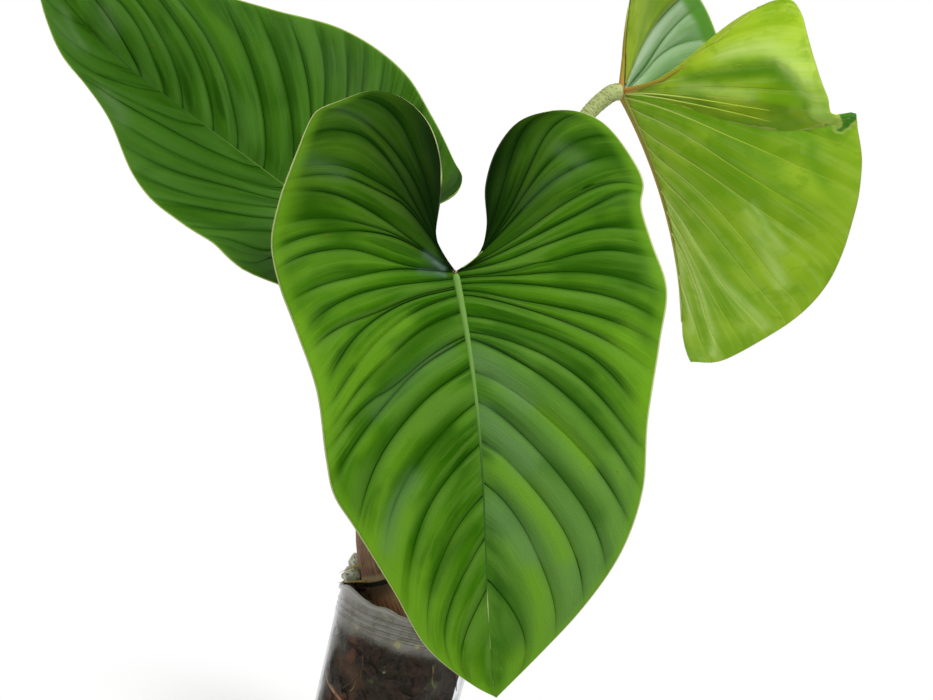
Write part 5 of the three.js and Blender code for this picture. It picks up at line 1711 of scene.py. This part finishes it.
def make_sheath(index, sheath, material):
    """A thin dry sheath round the stem, ribbed along its length, with a torn upper edge."""
    columns, rows = 96, 50
    u, v = np.meshgrid(np.linspace(-1, 1, columns), np.linspace(0, 1, rows), indexing="ij")
    torn = 0.05 * np.abs(np.sin(7 * u + index)) + 0.03 * np.abs(np.sin(23 * u + 2 * index))
    torn = 1 - sheath["tear"] * torn
    share = mix(sheath["from"], sheath["to"], v * mix(1, torn, v))
    centre, _, across, away = stem_frame(share)
    turn = np.radians(sheath["facing"] + u * (1 - sheath["point"] * v**3) * sheath["span"] / 2)
    opening = sheath["spread"] * np.clip(share - 0.4, 0, 1) ** 2 * (1 + 0.15 * np.cos(5 * turn))
    layer = (SHEATH_THICKNESS + 2 * GAP) * sheath["layer"]
    ribs = 0.16 * np.sin(u * 46 + 2 * np.sin(2 * u)) * smooth(v / 0.1)
    ribs = ribs + 0.25 * np.sin(5 * u + 3 * v + index) * v
    collar = 1.1 * np.exp(-((v / 0.06) ** 2)) * (sheath["layer"] == 0)
    reach = STEM_RADIUS + STEM_NODE_SWELL + GAP + layer + opening + ribs + collar
    arm = across * np.cos(turn)[..., None] + away * np.sin(turn)[..., None]
    half = mix(0.45, 0.2, smooth(v))
    layers = [(centre + arm * width[..., None]).reshape(-1, 3) for width in (reach + half, reach - half)]
    facts = {"across": np.tile(u.ravel(), 2), "up": np.tile(v.ravel(), 2)}
    piece = mesh_object(f"dry_sheath_{index + 1}", np.vstack(layers), closed_grid(columns, rows),
                        [material], attributes=facts)
    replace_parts(piece, f"cataphyll_{index + 1}")


def make_sheaths():
    copper = sheath_material("sheath_copper", (0.4, 0.18, 0.085), (0.14, 0.055, 0.027), (0.5, 0.28, 0.15),
                             (0.12, 0.06, 0.035), 0.8)
    pink = sheath_material("sheath_pink", (0.25, 0.135, 0.075), (0.085, 0.037, 0.022), (0.42, 0.29, 0.18),
                           (0.3, 0.22, 0.11), 0.0)
    for index, material in enumerate((copper, pink, copper)):
        make_sheath(index, SHEATHS[index], material)


# Scene


def make_camera():
    down, roll = math.radians(CAMERA_DOWN), math.radians(CAMERA_ROLL)
    right = Vector((1, 0, 0))
    up = Vector((0, math.sin(down), math.cos(down)))
    forward = Vector((0, math.cos(down), -math.sin(down)))
    camera_up = up * math.cos(roll) - right * math.sin(roll)
    camera_right = right * math.cos(roll) + up * math.sin(roll)
    matrix = Matrix((camera_right, camera_up, -forward)).transposed().to_4x4()
    matrix.translation = Vector(CAMERA_PLACE) * MM
    data = bpy.data.cameras.new("camera")
    data.sensor_width = SENSOR_WIDTH
    data.lens = FOCAL_PIXELS / PHOTO_WIDTH * SENSOR_WIDTH
    camera = bpy.data.objects.new("camera", data)
    camera.matrix_world = matrix
    bpy.context.scene.collection.objects.link(camera)
    bpy.context.scene.camera = camera


def area_light(name, place, power):
    """A round lamp that looks at the plant's middle."""
    data = bpy.data.lights.new(name, "AREA")
    data.shape = "DISK"
    data.size = LAMP_SIZE
    data.energy = power
    light = bpy.data.objects.new(name, data)
    light.location = place
    light.rotation_euler = (Vector(LAMP_TARGET) - Vector(place)).to_track_quat("-Z", "Y").to_euler()
    bpy.context.scene.collection.objects.link(light)


def make_light():
    """A white world, which the camera sees at full strength and the plant is lit by less, and two lamps."""
    world = bpy.data.worlds.new("studio")
    bpy.context.scene.world = world
    world.use_nodes = True
    nodes, links = world.node_tree.nodes, world.node_tree.links
    background = nodes["Background"]
    background.inputs["Color"].default_value = (1, 1, 1, 1)
    seen = nodes.new("ShaderNodeLightPath")
    strength = nodes.new("ShaderNodeMapRange")
    strength.inputs["To Min"].default_value = AMBIENT
    strength.inputs["To Max"].default_value = 1.0
    links.new(seen.outputs["Is Camera Ray"], strength.inputs["Value"])
    links.new(strength.outputs["Result"], background.inputs["Strength"])
    area_light("key", (0.25, -0.9, 1.6), 24)
    area_light("back", (0.5, 0.9, 1.2), 14)
    bpy.context.scene.view_settings.view_transform = "Standard"


def make_floor():
    """A pale disc that turns to plain white away from the pot."""
    mesh = bpy.data.meshes.new("floor")
    turns = np.linspace(0, 2 * np.pi, FLOOR_SIDES, endpoint=False)
    ring = np.stack([FLOOR_RADIUS * np.cos(turns), FLOOR_RADIUS * np.sin(turns), 0 * turns], -1)
    mesh.from_pydata(ring.tolist(), [], [list(range(FLOOR_SIDES))])
    mesh.materials.append(floor_material())
    floor = bpy.data.objects.new("floor", mesh)
    bpy.context.scene.collection.objects.link(floor)


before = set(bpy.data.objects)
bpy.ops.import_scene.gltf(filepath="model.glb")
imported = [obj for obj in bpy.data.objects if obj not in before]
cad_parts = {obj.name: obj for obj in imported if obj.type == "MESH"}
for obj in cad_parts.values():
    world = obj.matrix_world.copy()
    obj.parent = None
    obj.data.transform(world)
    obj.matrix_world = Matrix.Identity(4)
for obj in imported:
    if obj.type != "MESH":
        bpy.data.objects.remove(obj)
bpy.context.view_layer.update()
make_camera()
make_light()
make_floor()
for leaf_name in LEAVES:
    make_leaf(leaf_name)
stalk_look = stalk_material()
for seed, leaf_name in enumerate(LEAVES, 1):
    make_stalk(leaf_name, seed, stalk_look)
make_pot()
make_mix()
make_roots()
make_stem()
make_sheaths()
